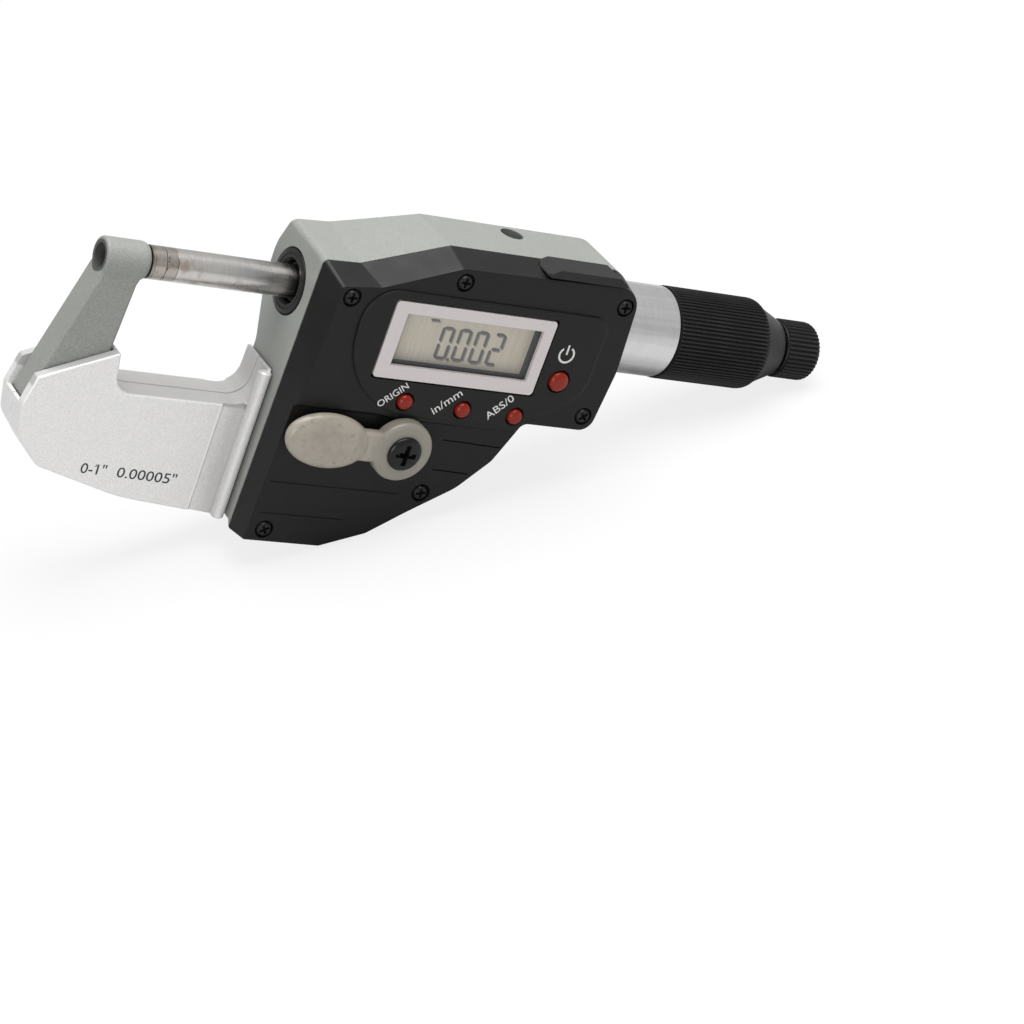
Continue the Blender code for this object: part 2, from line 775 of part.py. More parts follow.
def make_cover(stand):
    seam = body_corners()
    cover = loft(
        (cover_back(), seam),
        (COVER_FRONT + COVER_EDGE, inset(seam, COVER_DRAFT)),
        (COVER_FRONT, inset(seam, COVER_DRAFT + COVER_EDGE)),
    )
    scoop = rod("X", (0, COVER_FRONT - 3.6, -14.0), 5.6, 29.6, 46.0, 32)
    cut(cover, scoop)
    fuse(cover, prism(surround_corners(), COVER_FRONT - SURROUND_RISE, cover_inside() + 0.1))
    upper = [
        (BUSH_END + 0.7, NOSE_TOP - 1.8, 1.0),
        (RISE_X + 1.0, BODY_TOP - WALL, 1.0),
        (BODY_RIGHT - 4.0, BODY_TOP - WALL, 2.0),
        (BODY_RIGHT - 4.0, SHELF_Z + 0.5, 1.0),
        (NECK_X - 1.0, SHELF_Z + 0.5, 0.5),
        (NECK_X - 1.0, NECK_Z, 0.5),
        (BUSH_END + 0.7, NECK_Z, 1.0),
    ]
    lower = [
        (BODY_LEFT + WALL, LEVER_Z - 8.0, 1.0),
        (LEVER_X + 12.0, LEVER_Z - 8.0, 1.0),
        (LEVER_X + 2.5, BODY_BOTTOM + 9.0, 2.0),
        (REST_X, BODY_BOTTOM + WALL + 0.6, 1.0),
        (BODY_LEFT + WALL, BODY_BOTTOM + WALL + 0.6, 1.0),
    ]
    hollow = fuse(
        prism(upper, cover_inside(), cover_back() + 1.0),
        prism(lower, cover_inside() + 0.6, cover_back() + 1.1),
    )
    cut(hollow, *screw_posts(cover_inside() - 1.0, cover_back() + 2.0))
    cut(cover, hollow)
    front = COVER_FRONT - 3.0
    screw_holes = [
        turned([
            (front, 0),
            (front, HEAD_RADIUS + SEAT),
            (COVER_FRONT + 1.0, HEAD_RADIUS + SEAT),
            (COVER_FRONT + 1.0, THREAD_RADIUS + SEAT),
            (cover_back() + 1.0, THREAD_RADIUS + SEAT),
            (cover_back() + 1.0, 0),
        ], "Y", (x, 0, z), SMALL_STEPS)
        for x, z in COVER_SCREW_SPOTS
    ]
    button_holes = [
        rod("Y", (x, 0, z), radius + SEAT, front, cover_inside() + 1.0, 16)
        for x, z, radius in BUTTON_SPOTS.values()
    ]
    cut(
        cover,
        prism(inset(display_corners(), -SEAT), front, cover_inside() + 1.0),
        rod("Y", (LEVER_X, 0, LEVER_Z), CAM_RADIUS + SEAT, front, cover_back() + 1.0, 28),
        *screw_holes,
        *button_holes,
    )
    cut(
        cover,
        prism(inset(port_cover_corners(), -SEAT), front, cover_back() + 1.0),
        column(rectangle(PORT_LEFT + 4.5, PORT_RIGHT - 4.5, COVER_FRONT + 1.6, cover_back() - 1.0), 12.0, 18.0),
    )
    finish("front_cover", cover, stand, BLACK, 0.45, 0.0)
    gasket = cut(
        prism(inset(seam, 0.8 + SEAT), FRAME_FRONT, FRAME_FRONT + 0.8),
        prism(inset(seam, 1.9), FRAME_FRONT - 1.0, FRAME_FRONT + 2.0),
    )
    finish("cover_gasket", gasket, stand, RUBBER, 0.8, 0.0)


def pan_screw(x, z, head_front, head_radius, head_height, shank_radius, shank_end, steps=SMALL_STEPS):
    """Cross-head screw whose head faces the front."""
    screw = turned([
        (head_front, 0),
        (head_front, head_radius * 0.72),
        (head_front + head_height * 0.35, head_radius),
        (head_front + head_height, head_radius),
        (head_front + head_height, shank_radius),
        (shank_end, shank_radius),
        (shank_end, 0),
    ], "Y", (x, 0, z), steps)
    arm = head_radius * 0.55
    slot = head_radius * 0.12
    deep = head_front + head_height * 0.6
    cross = fuse(
        prism(rectangle(x - arm, x + arm, z - slot, z + slot), head_front - 1.0, deep),
        prism(rectangle(x - slot, x + slot, z - arm, z + arm), head_front - 1.2, deep + 0.01),
    )
    return cut(screw, cross)


def make_cover_screws(stand):
    for number, (x, z) in enumerate(COVER_SCREW_SPOTS, 1):
        tip = cover_screw_depth() - SEAT
        screw = pan_screw(x, z, COVER_FRONT - 0.2, HEAD_RADIUS, 0.9, THREAD_RADIUS, tip)
        finish(f"cover_screw_{number}", screw, stand, BLACK, 0.35, 0.8)


def make_display(stand):
    front = COVER_FRONT - SURROUND_RISE - 0.1
    bezel = cut(
        prism(display_corners(), front, front + 0.8),
        prism(inset(display_corners(), BEZEL_BORDER), front - 1.0, front + 2.0),
    )
    finish("display_bezel", bezel, stand, (0.75, 0.75, 0.76), 0.3, 0.5)
    pane = prism(display_corners(), front + 0.8 + SEAT, front + 1.8 + SEAT)
    finish("display_window", pane, stand, GLASS, 0.05, 0.0)
    glass_front = cover_inside() + SEAT
    module = prism(inset(display_corners(), -1.2), glass_front, glass_front + 2.0)
    finish("lcd_module", module, stand, LCD_GREY, 0.3, 0.0)
    board_front = glass_front + 2.0 + SEAT
    corners = rectangle(BUSH_END + 1.2, BODY_RIGHT - 7.5, SHELF_Z + 1.0, NOSE_TOP - 2.2, 1.0)
    board = prism(corners, board_front, board_front + 1.0)
    finish("circuit_board", board, stand, BOARD_GREEN, 0.5, 0.0)
    for name, (x, z, radius) in BUTTON_SPOTS.items():
        switch = rod("Y", (x, 0, z), 1.2, board_front - 0.85, board_front - SEAT, 16)
        finish(name.replace("button", "switch"), switch, stand, STEEL, 0.4, 0.8)
        top = COVER_FRONT - SURROUND_RISE - BUTTON_RISE
        flange = cover_inside() + SEAT
        back = board_front - 0.85 - BUTTON_TRAVEL - 0.1
        cap = turned([
            (top, 0),
            (top + 0.12, radius * 0.5),
            (top + 0.45, radius * 0.85),
            (top + 0.9, radius),
            (flange, radius),
            (flange, radius + 0.6),
            (back, radius + 0.6),
            (back, 0),
        ], "Y", (x, 0, z), 16)
        finish(name, cap, stand, RED, 0.35, 0.0, pivot=(x, top, z))


# Clamp lever and what it works

def paddle_corners():
    """Outline of the oval paddle, whose long axis droops a little towards the pivot."""
    steps = 24
    tilt = Matrix.Rotation(-math.radians(PADDLE_DROOP), 2)
    corners = []
    for step in range(steps):
        angle = 2 * math.pi * step / steps
        spot = tilt @ Vector((PADDLE_LONG * math.cos(angle), PADDLE_WIDE * math.sin(angle)))
        corners.append((PADDLE_X + spot.x, PADDLE_Z + spot.y, 0.0))
    return corners


def make_lever(stand):
    back = COVER_FRONT - SEAT
    front = back - LEVER_THICKNESS
    pivot = (LEVER_X, front, LEVER_Z)
    hub = turned([
        (front, 0),
        (front, LEVER_RADIUS - 0.6),
        (front + 0.6, LEVER_RADIUS),
        (back, LEVER_RADIUS),
        (back, 0),
    ], "Y", (LEVER_X, 0, LEVER_Z), 36)
    neck_z = (PADDLE_Z + LEVER_Z) / 2
    neck = rectangle(PADDLE_X + PADDLE_LONG - 3.0, LEVER_X - 2.0, neck_z - NECK_HALF, neck_z + NECK_HALF)
    neck_bar = loft((front + 0.1, inset(neck, 0.3)), (front + 0.6, neck), (back - 0.1, neck))
    oval = paddle_corners()
    paddle = loft(
        (front - 0.9, inset(oval, 2.8)),
        (front - 0.6, inset(oval, 1.5)),
        (front + 0.1, inset(oval, 0.4)),
        (front + 1.0, oval),
        (back - 0.4, oval),
        (back, inset(oval, 0.4)),
    )
    lever = fuse(hub, neck_bar, paddle)
    cut(lever, rod("Y", (LEVER_X, 0, LEVER_Z), 2.0, front - 1.0, back + 1.0))
    finish("lock_lever", lever, stand, MILK, 0.4, 0.0, pivot)
    shank_end = cover_inside() + 3.5
    screw = pan_screw(LEVER_X, LEVER_Z, front - 0.9, LEVER_SCREW_RADIUS, 0.9 - 0.1, 1.7, shank_end, 24)
    finish("lever_screw", screw, stand, BLACK, 0.3, 0.8, pivot)
    cam_front = back + SEAT
    shaft = rod("Y", (LEVER_X, 0, LEVER_Z), CAM_RADIUS, cam_front, -ROD_RADIUS - 0.4, 24)
    fuse(shaft, cam_lobe())
    cut(shaft, rod("Y", (LEVER_X, 0, LEVER_Z), 2.0, cam_front - 1.0, shank_end + SEAT))
    finish("lock_cam", shaft, stand, STEEL, 0.35, 1.0, pivot)
    foot = lobe_top() + SEAT
    push_rod = turned([
        (foot, 0),
        (foot, ROD_RADIUS),
        (-SPINDLE_RADIUS - 0.35 - 0.4, ROD_RADIUS),
        (-SPINDLE_RADIUS - 0.35, ROD_RADIUS - 0.4),
        (-SPINDLE_RADIUS - 0.35, 0),
    ], "Z", (LEVER_X, 0, 0), SMALL_STEPS)
    finish("lock_rod", push_rod, stand, BRASS, 0.35, 1.0, (LEVER_X, 0, foot))


def cam_offset():
    """Offset of the lobe that lifts by CAM_LIFT while the lever turns through CAM_THROW."""
    last = math.radians(30.0)
    first = last + math.radians(CAM_THROW)
    throw = CAM_LIFT / (math.cos(last) - math.cos(first))
    return throw * math.sin(first), throw * math.cos(first)


def lobe_radius():
    return CAM_RADIUS - 0.4


def cam_lobe():
    across, up = cam_offset()
    centre = (LEVER_X + across, 0, LEVER_Z + up)
    return rod("Y", centre, lobe_radius(), -ROD_RADIUS - 0.6, ROD_RADIUS + 0.2, 24)


def lobe_top():
    return LEVER_Z + cam_offset()[1] + lobe_radius()


# Encoder and key

def make_encoder(stand):
    carrier_front = SCALE_FRONT + 0.8 + SEAT
    saddle = trim(
        fuse(
            tube(CARRIER_LEFT, CARRIER_RIGHT, SPINDLE_RADIUS + 2.0, SPINDLE_RADIUS + SEAT),
            bar(rectangle(carrier_front, -SPINDLE_RADIUS - 1.0, -3.0, 3.0), CARRIER_LEFT, CARRIER_RIGHT),
        ),
        bar(rectangle(carrier_front - 1.0, -KEY_RADIUS - 0.5, -8.0, 8.0), CARRIER_LEFT - 1.0, CARRIER_RIGHT + 1.0),
    )
    finish("scale_carrier", saddle, stand, SILVER, 0.4, 0.9)
    strip = bar(rectangle(SCALE_FRONT, SCALE_FRONT + 0.8, -3.5, 3.5), SCALE_LEFT, CARRIER_RIGHT + 0.5)
    finish("encoder_scale", strip, stand, (0.5, 0.35, 0.1), 0.4, 0.5)
    board_back = cover_inside() + SEAT + 2.0 + SEAT + 1.0
    reader = bar(rectangle(board_back + SEAT, SCALE_FRONT - SEAT, -5.0, 5.0), READER_LEFT, READER_RIGHT)
    finish("encoder_reader", reader, stand, BOARD_GREEN, 0.5, 0.0)


def make_key(stand):
    key = rod("Z", (KEY_X, 0, 0), KEY_RADIUS, KEY_FOOT, BODY_TOP - 1.7 - 0.2)
    finish("key_pin", key, stand, STEEL, 0.35, 1.0)
    plug = turned([
        (BODY_TOP - 1.4, 0),
        (BODY_TOP - 1.4, PLUG_RADIUS),
        (BODY_TOP - 0.4, PLUG_RADIUS),
        (BODY_TOP - 0.1, PLUG_RADIUS - 0.3),
        (BODY_TOP - 0.1, 0),
    ], "Z", (KEY_X, 0, 0), 28)
    finish("top_plug", plug, stand, RUBBER, 0.7, 0.0)


# Data port

def port_cover_corners():
    return [
        (PORT_LEFT, BODY_TOP - 0.9, 0.0),
        (PORT_LEFT + 1.8, PORT_TOP, 0.4),
        (PORT_RIGHT - 2.2, PORT_TOP, 0.6),
        (PORT_RIGHT, BODY_TOP - 0.5, 0.3),
        (PORT_RIGHT - 0.3, BODY_TOP - 0.9, 0.0),
    ]


def make_port(stand):
    rim_front = COVER_FRONT - 0.3
    cap = prism(port_cover_corners(), rim_front, cover_back() - SEAT)
    soften(cap, 0.3, 50.0)
    section = rectangle(PORT_LEFT + 4.8, PORT_RIGHT - 4.8, COVER_FRONT + 1.9, cover_back() - 1.3)
    fuse(cap, column(section, BODY_TOP - 2.2, BODY_TOP - 0.7))
    finish("port_cover", cap, stand, RUBBER, 0.7, 0.0)
    top = BODY_TOP - 2.2 - SEAT
    socket = column(section, top - 4.0, top)
    finish("port_connector", socket, stand, BLACK, 0.4, 0.0)


# Sleeve, measuring screw, thimble and ratchet knob

def make_sleeve(stand):
    bore = SPINDLE_RADIUS + 0.35
    sleeve = turned([
        (SPIGOT_LEFT, bore),
        (SPIGOT_LEFT, SPIGOT_RADIUS),
        (SLEEVE_LEFT, SPIGOT_RADIUS),
        (SLEEVE_LEFT, SLEEVE_RADIUS),
        (SLEEVE_STEP - 0.3, SLEEVE_RADIUS),
        (SLEEVE_STEP, SLEEVE_RADIUS - 0.3),
        (SLEEVE_STEP, BARREL_RADIUS),
        (BARREL_END, BARREL_RADIUS),
        (BARREL_END, NUT_RADIUS + SEAT),
        (NUT_LEFT - SEAT, NUT_RADIUS + SEAT),
        (NUT_LEFT - SEAT, bore),
    ])
    finish("sleeve", sleeve, stand, SILVER, 0.35, 1.0)
    nut_bore = SCREW_RADIUS + RUN
    finish("lead_nut", tube(NUT_LEFT, NUT_RIGHT, NUT_RADIUS, nut_bore), stand, BRASS, 0.4, 1.0)
    ring = tube(NUT_RIGHT + SEAT, BARREL_END - SEAT, NUT_RADIUS, nut_bore)
    finish("adjusting_nut", ring, stand, STEEL, 0.4, 1.0)


def make_thimble(stand):
    pivot = (THIMBLE_LEFT, 0, 0)
    thimble = knurled(THIMBLE_LEFT, KNURL_END, THIMBLE_RADIUS, KNURL_RIBS, 0.4, 0.6)
    shoulder = THIMBLE_RADIUS - 0.8
    cone = turned([
        (KNURL_END - 1.0, 0),
        (KNURL_END - 1.0, shoulder),
        (KNURL_END + 0.4, shoulder),
        (KNURL_END + 1.4, shoulder - 0.5),
        (CONE_END - 0.4, CONE_RADIUS + 0.2),
        (CONE_END, CONE_RADIUS - 0.2),
        (CONE_END, STUB_RADIUS),
        (STUB_END, STUB_RADIUS),
        (STUB_END, 0),
    ], steps=ROUND_STEPS)
    fuse(thimble, cone)
    inner = BARREL_RADIUS + SEAT
    web = BARREL_END + 0.6
    cut(thimble, turned([
        (THIMBLE_LEFT - 1.0, 0),
        (THIMBLE_LEFT - 1.0, inner),
        (web, inner),
        (web, SCREW_RADIUS - 0.5),
        (CONE_END, SCREW_RADIUS - 0.5),
        (CONE_END, 1.5),
        (STUB_END + 1.0, 1.5),
        (STUB_END + 1.0, 0),
    ]), tube(THIMBLE_LEFT + 1.6, THIMBLE_LEFT + 3.4, inner + 0.7, inner - 1.0))
    finish("thimble", thimble, stand, BLACK, 0.45, 0.6, pivot)
    ring = tube(THIMBLE_LEFT + 1.9, THIMBLE_LEFT + 3.1, inner + 0.4, BARREL_RADIUS + RUN)
    finish("thimble_seal", ring, stand, RUBBER, 0.8, 0.0, pivot)
    screw = turned([
        (SPINDLE_END + SEAT, 0),
        (SPINDLE_END + SEAT, SCREW_RADIUS - 0.4),
        (SPINDLE_END + SEAT + 0.4, SCREW_RADIUS),
        (web - SEAT, SCREW_RADIUS),
        (web - SEAT, SCREW_RADIUS - 0.5 - SEAT),
        (CONE_END - SEAT, SCREW_RADIUS - 0.5 - SEAT),
        (CONE_END - SEAT, 0),
    ], steps=HIDDEN_STEPS)
    finish("lead_screw", screw, stand, STEEL, 0.3, 1.0, pivot)


def make_knob(stand):
    pivot = (KNOB_LEFT, 0, 0)
    knob = knurled(KNOB_LEFT, KNOB_END, KNOB_RADIUS, KNOB_RIBS, 0.3, KNOB_ROUND)
    cavity = STUB_RADIUS + SEAT
    head_seat = KNOB_END - 1.3
    cut(knob, turned([
        (KNOB_LEFT - 1.0, 0),
        (KNOB_LEFT - 1.0, cavity),
        (KNOB_WALL_LEFT, cavity),
        (KNOB_WALL_LEFT, 1.5),
        (head_seat, 1.5),
        (head_seat, 2.6),
        (KNOB_END + 1.0, 2.6),
        (KNOB_END + 1.0, 0),
    ]))
    finish("ratchet_knob", knob, stand, BLACK, 0.45, 0.6, pivot)
    spring = tube(STUB_END + SEAT, KNOB_WALL_LEFT - SEAT, STUB_RADIUS, 1.5)
    finish("ratchet_spring", spring, stand, STEEL, 0.4, 1.0, pivot)
    screw = turned([
        (CONE_END + SEAT, 0),
        (CONE_END + SEAT, 1.2),
        (head_seat + SEAT, 1.2),
        (head_seat + SEAT, 2.3),
        (KNOB_END - 0.1, 2.3),
        (KNOB_END - 0.1, 0),
    ], steps=24)
    slot = rectangle(KNOB_END - 0.5, KNOB_END + 1.0, -3.0, 3.0)
    cut(screw, column(slot, -0.3, 0.3))
    finish("ratchet_screw", screw, stand, STEEL, 0.4, 1.0, pivot)


# Battery

def battery_floor():
    return CAP_LEDGE - BATTERY_THICKNESS - 3 * SEAT


def make_battery(stand):
    centre = (BATTERY_X, 0, BATTERY_Z)
    floor = battery_floor()
    contact = rod("Y", centre, BATTERY_RADIUS - 3.0, floor + 0.1, floor + 0.4, 32)
    finish("battery_contacts", contact, stand, STEEL, 0.3, 1.0)
    cell_front = floor + 0.4 + SEAT
    cell = turned([
        (cell_front, 0),
        (cell_front, BATTERY_RADIUS - 1.2),
        (cell_front + 0.6, BATTERY_RADIUS),
        (cell_front + BATTERY_THICKNESS, BATTERY_RADIUS),
        (cell_front + BATTERY_THICKNESS, 0),
    ], "Y", centre, ROUND_STEPS)
    finish("battery", cell, stand, STEEL, 0.3, 1.0)
    seal_front = CAP_LEDGE + SEAT
    seal = turned([
        (seal_front, CAP_RADIUS - 0.7),
        (seal_front, CAP_RADIUS),
        (seal_front + 0.3, CAP_RADIUS),
        (seal_front + 0.3, CAP_RADIUS - 0.7),
    ], "Y", centre, HIDDEN_STEPS)
    cap_front = seal_front + 0.3 + SEAT
    pivot = (BATTERY_X, cap_front, BATTERY_Z)
    finish("battery_cap_seal", seal, stand, RUBBER, 0.8, 0.0, pivot)
    cap_back = WEB_BACK - 0.1
    cap = turned([
        (cap_front, 0),
        (cap_front, CAP_RADIUS),
        (cap_back - 0.3, CAP_RADIUS),
        (cap_back, CAP_RADIUS - 0.3),
        (cap_back, 0),
    ], "Y", centre, ROUND_STEPS)
    slot = rectangle(BATTERY_X - 6.0, BATTERY_X + 6.0, BATTERY_Z - 0.9, BATTERY_Z + 0.9, 0.8)
    cut(cap, prism(slot, cap_back - 1.1, cap_back + 1.0))
    finish("battery_cap", cap, stand, BLACK, 0.5, 0.0, pivot)


# The whole tool

def set_down(stand):
    """Tip the tool until it rests on its lower edge and its knob, centred over the origin."""
    stand.rotation_euler = (0.0, stand_angle(), 0.0)
    bpy.context.view_layer.update()
    corners = [child.matrix_world @ vertex.co for child in stand.children for vertex in child.data.vertices]
    lowest = Vector([min(corner[axis] for corner in corners) for axis in range(3)])
    highest = Vector([max(corner[axis] for corner in corners) for axis in range(3)])
    middle = (lowest + highest) / 2
    stand.location = (-middle.x, -middle.y, -lowest.z)
    bpy.context.view_layer.update()


def main():
    for obj in list(bpy.data.objects):
        bpy.data.objects.remove(obj, do_unlink=True)
    stand = bpy.data.objects.new("stand", None)
    bpy.context.collection.objects.link(stand)
    make_frame(stand)
    make_anvil(stand)
    make_spindle(stand)
    make_bush(stand)
    make_shells(stand)
    make_cover(stand)
    make_cover_screws(stand)
    make_display(stand)
    make_lever(stand)
    make_encoder(stand)
    make_key(stand)
    make_port(stand)
    make_sleeve(stand)
    make_thimble(stand)
    make_knob(stand)
    make_battery(stand)
    set_down(stand)


main()
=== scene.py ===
"""Digital outside micrometer: the pieces and finishes that dress its solid model for a picture.

Sizes inside the functions are in millimetres in the tool's own frame, with the spindle along +X,
the display facing -Y and the origin between the measuring faces. TOOL takes them to the model.
"""

import json
import math
from types import SimpleNamespace

import bmesh
import bpy
from bpy.props import FloatProperty, FloatVectorProperty, IntProperty, PointerProperty
from mathutils import Matrix, Vector

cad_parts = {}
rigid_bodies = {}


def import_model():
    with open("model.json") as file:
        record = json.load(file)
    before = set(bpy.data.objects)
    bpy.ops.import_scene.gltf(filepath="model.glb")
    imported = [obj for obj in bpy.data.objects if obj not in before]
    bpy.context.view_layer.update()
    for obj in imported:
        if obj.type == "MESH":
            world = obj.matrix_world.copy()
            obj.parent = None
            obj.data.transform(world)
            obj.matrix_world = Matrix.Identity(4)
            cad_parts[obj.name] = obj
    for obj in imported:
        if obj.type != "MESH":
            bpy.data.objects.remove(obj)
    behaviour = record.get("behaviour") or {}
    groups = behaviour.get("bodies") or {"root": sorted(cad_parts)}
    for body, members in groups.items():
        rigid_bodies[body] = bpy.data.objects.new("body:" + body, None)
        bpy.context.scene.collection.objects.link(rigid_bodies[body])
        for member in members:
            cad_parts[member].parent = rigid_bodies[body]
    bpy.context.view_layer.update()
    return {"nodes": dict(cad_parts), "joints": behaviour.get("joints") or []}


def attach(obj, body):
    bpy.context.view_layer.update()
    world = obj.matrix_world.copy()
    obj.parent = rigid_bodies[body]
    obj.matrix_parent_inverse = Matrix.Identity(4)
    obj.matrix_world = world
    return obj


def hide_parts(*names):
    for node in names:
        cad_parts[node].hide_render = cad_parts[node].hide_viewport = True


for leftover in list(bpy.data.objects):
    bpy.data.objects.remove(leftover, do_unlink=True)
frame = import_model()

bl_info = {
    "name": "Digital Micrometer",
    "version": (1, 0, 0),
    "blender": (4, 5, 0),
    "location": "3D View > Sidebar > Micrometer",
    "description": "Builds the visible pieces of a digital outside micrometer and its stage",
    "category": "Object",
}

MM = 0.001
SEAT = 0.3
RUN = 0.15
ARC_STEPS = 8
EDGE_STEPS = 6
ROUND_STEPS = 96
SMALL_STEPS = 32
SHARP_ANGLE = 32.0

# Spindle, anvil and bush
TRAVEL = 25.4
SPINDLE_END = 91.8
FACE_GAP = 0.1
TIP_LENGTH = 2.3
BRAZE_GAP = 0.05
SHANK_RADIUS = 2.1
SHANK_END = -11.0
BUSH_FLANGE = 1.1
BUSH_RADIUS = 5.0
BUSH_END = 38.0
SEAL_RADIUS = 4.2

# Arm, bow and housing
ARM_HALF = 3.2
BOSS_RADIUS = 3.75
BOSS_LEFT = -12.5
BOSS_RIGHT = -3.0
BOW_FLOOR = -26.8
BOW_BOTTOM = -45.4
BODY_LEFT = 27.6
BODY_RIGHT = 96.6
BODY_TOP = 16.5
BODY_BOTTOM = -49.2
NOSE_TOP = 10.6
NECK_X = 79.6
NECK_Z = -17.4
REST_X = 44.0
REST_LENGTH = 10.4
FRAME_FRONT = -10.7
BODY_BACK = 9.3
WEB_BACK = 5.0
POCKET_BACK = 3.7
LOWER_POCKET_BACK = -3.5
SHELF_Z = -15.5
WALL = 2.6

# Cover
COVER_FRONT = -17.4
SEAM_LEFT = 27.1
SEAM_LEAN = 0.9
LOWER_RECESS = 1.2
LEFT_SPOTS = (-16.0, -13.5, -11.0, -8.5, -6.0, -3.5, -1.0)
COVER_SKIN = 1.8
COVER_INSIDE = COVER_FRONT + COVER_SKIN
SURROUND_RISE = 0.5
PANEL_FRONT = COVER_FRONT - SURROUND_RISE
COVER_SCREW_SPOTS = ((31.8, 5.65), (54.7, 11.85), (92.2, 11.3), (92.0, -13.2), (62.3, -34.5), (30.9, -45.8))
THREAD_RADIUS = 0.85
SEAM_LINES = ((27.7, 57.3, -35.2), (27.7, 47.1, -42.1), (62.0, 76.0, -22.3), (62.0, 71.0, -29.0))

# Shells
SHELL_HALF = 5.5
SHELL_LEFT = -21.4
SHELL_RIGHT = 27.3
SHELL_BOTTOM = -49.5
SHELL_FLOOR = -25.2
SHELL_RIM_Z = -16.6
PARTING_GAP = 0.3
NOTCH_Z = -30.0
BEAD_X = 25.9
BEAD_RADIUS = 1.35
GROOVE_LEFT = 19.4
GROOVE_DEPTH = 0.7
PIN_RADIUS = 1.8
PIN_SPOTS = ((-10.0, -34.0), (6.0, -36.5), (20.0, -36.5))

# Display, buttons and print
LCD_LEFT = 41.4
LCD_RIGHT = 78.0
LCD_LOW = -9.8
LCD_HIGH = 6.6
DIGIT_LEFT = 54.65
DIGIT_LOW = -5.6
DIGIT_HEIGHT = 7.1
DIGIT_WIDTH = 2.9
DIGIT_PITCH = 3.93
DIGIT_STROKE = 0.62
DIGIT_SEGMENTS = {"0": "abcdef", "2": "abdeg"}
FOIL = 0.02
PRINT_HALF = 0.012
BUTTON_SPOTS = {
    "origin_button": (50.5, -14.4, 1.6),
    "unit_button": (63.75, -14.7, 1.6),
    "zero_button": (76.0, -14.8, 1.6),
    "power_button": (83.0, -6.1, 2.1),
}
BUTTON_TRAVEL = 0.4
BUTTON_RISE = 1.0

# Clamp lever
LEVER_X = 52.5
LEVER_Z = -24.1
LEVER_PIVOT = (LEVER_X, 0, LEVER_Z)
LEVER_BACK = COVER_FRONT - SEAT
LEVER_FRONT = LEVER_BACK - 3.0
LEVER_RADIUS = 6.4
NECK_HALF = 3.3
PADDLE_X = 35.6
PADDLE_Z = -23.5
PADDLE_LONG = 9.2
PADDLE_WIDE = 5.8
PADDLE_DROOP = 4.0
PADDLE_STEPS = 64
LEVER_SCREW_RADIUS = 3.25
CAM_RADIUS = 3.0

# Top plug, port and battery cap
KEY_X = 72.4
KEY_RADIUS = 1.2
PLUG_RADIUS = 2.1
PORT_LEFT = 71.3
PORT_RIGHT = 90.9
PORT_TOP = 17.4
BATTERY_X = 40.2
BATTERY_Z = -34.6
BATTERY_RADIUS = 10.0
BATTERY_FLOOR = -2.1
CAP_RADIUS = 11.2
CAP_LEDGE = 2.0

# Sleeve, thimble and knob along the spindle's axis
SLEEVE_LEFT = 94.3
SLEEVE_STEP = 113.9
BARREL_RADIUS = 7.8
BARREL_END = 137.0
SPIGOT_RADIUS = 7.0
SPIGOT_LEFT = 88.3
NUT_RADIUS = 5.1
NUT_LEFT = 118.0
SCREW_RADIUS = 3.4
THIMBLE_LEFT = 114.25
KNURL_END = 137.4
CONE_END = 143.6
CONE_RADIUS = 6.0
STUB_RADIUS = 3.9
STUB_END = 149.0
KNOB_LEFT = 144.5
KNOB_END = 153.6
KNOB_SEAT = KNOB_END - 1.3
KNOB_WALL_LEFT = 151.0

# Camera, in the tool's frame
EYE = (-271.22, -515.29, 216.19)
LOOK_RIGHT = (0.8396, -0.4325, 0.3287)
LOOK_AHEAD = (0.5369, 0.7525, -0.3814)
LENS = 115.1

UNITS = [Vector((1, 0, 0)), Vector((0, 1, 0)), Vector((0, 0, 1))]


def tool_frame():
    """Matrix from the tool's own millimetres to the model's metres, read from the thimble's joint."""
    turn = next(joint for joint in frame["joints"] if joint["name"] == "thimble_turn")
    along = Vector(turn["axis"]).normalized()
    depth = Vector((0, 1, 0))
    up = along.cross(depth).normalized()
    origin = Vector(turn["pos_m"]) - along * THIMBLE_LEFT * MM
    rotation = Matrix((along, depth, up)).transposed().to_4x4()
    return Matrix.Translation(origin) @ rotation @ Matrix.Scale(MM, 4)


TOOL = tool_frame()


# Properties

def size(name, description, default):
    return FloatProperty(
        name=name, description=description, default=default * MM, min=0.0, max=0.05, precision=5,
        subtype="DISTANCE", unit="LENGTH",
    )


def colour(name, description, *default):
    return FloatVectorProperty(
        name=name, description=description, default=default, min=0.0, max=1.0, size=3, subtype="COLOR"
    )


class MicrometerSizes(bpy.types.PropertyGroup):
    """Sizes that a user would change."""

    spindle_radius: size("Spindle radius", "Radius of the spindle, the anvil and their tips", 3.25)
    bush_flange: size("Bush flange radius", "Radius of the black bush round the spindle", 6.45)
    sleeve_radius: size("Sleeve radius", "Radius of the satin sleeve", 9.47)
    thimble_radius: size("Thimble radius", "Radius over the thimble's ribs", 9.67)
    knob_radius: size("Knob radius", "Radius over the ratchet knob's ribs", 6.26)
    rib_height: size("Rib height", "How far the ribs of thimble and knob stand proud", 0.36)
    knob_round: size("Knob rounding", "Rounding of the ratchet knob's right end", 2.0)
    cast_edge: size("Casting edge", "Rounding of the casting's edges", 0.8)
    screw_head: size("Screw head radius", "Radius of the cover's screw heads", 1.6)
    print_height: size("Letter height", "Height of the words beside the buttons", 1.75)
    thimble_ribs: IntProperty(name="Thimble ribs", description="Ribs round the thimble", default=72, min=12)
    knob_ribs: IntProperty(name="Knob ribs", description="Ribs round the ratchet knob", default=40, min=12)


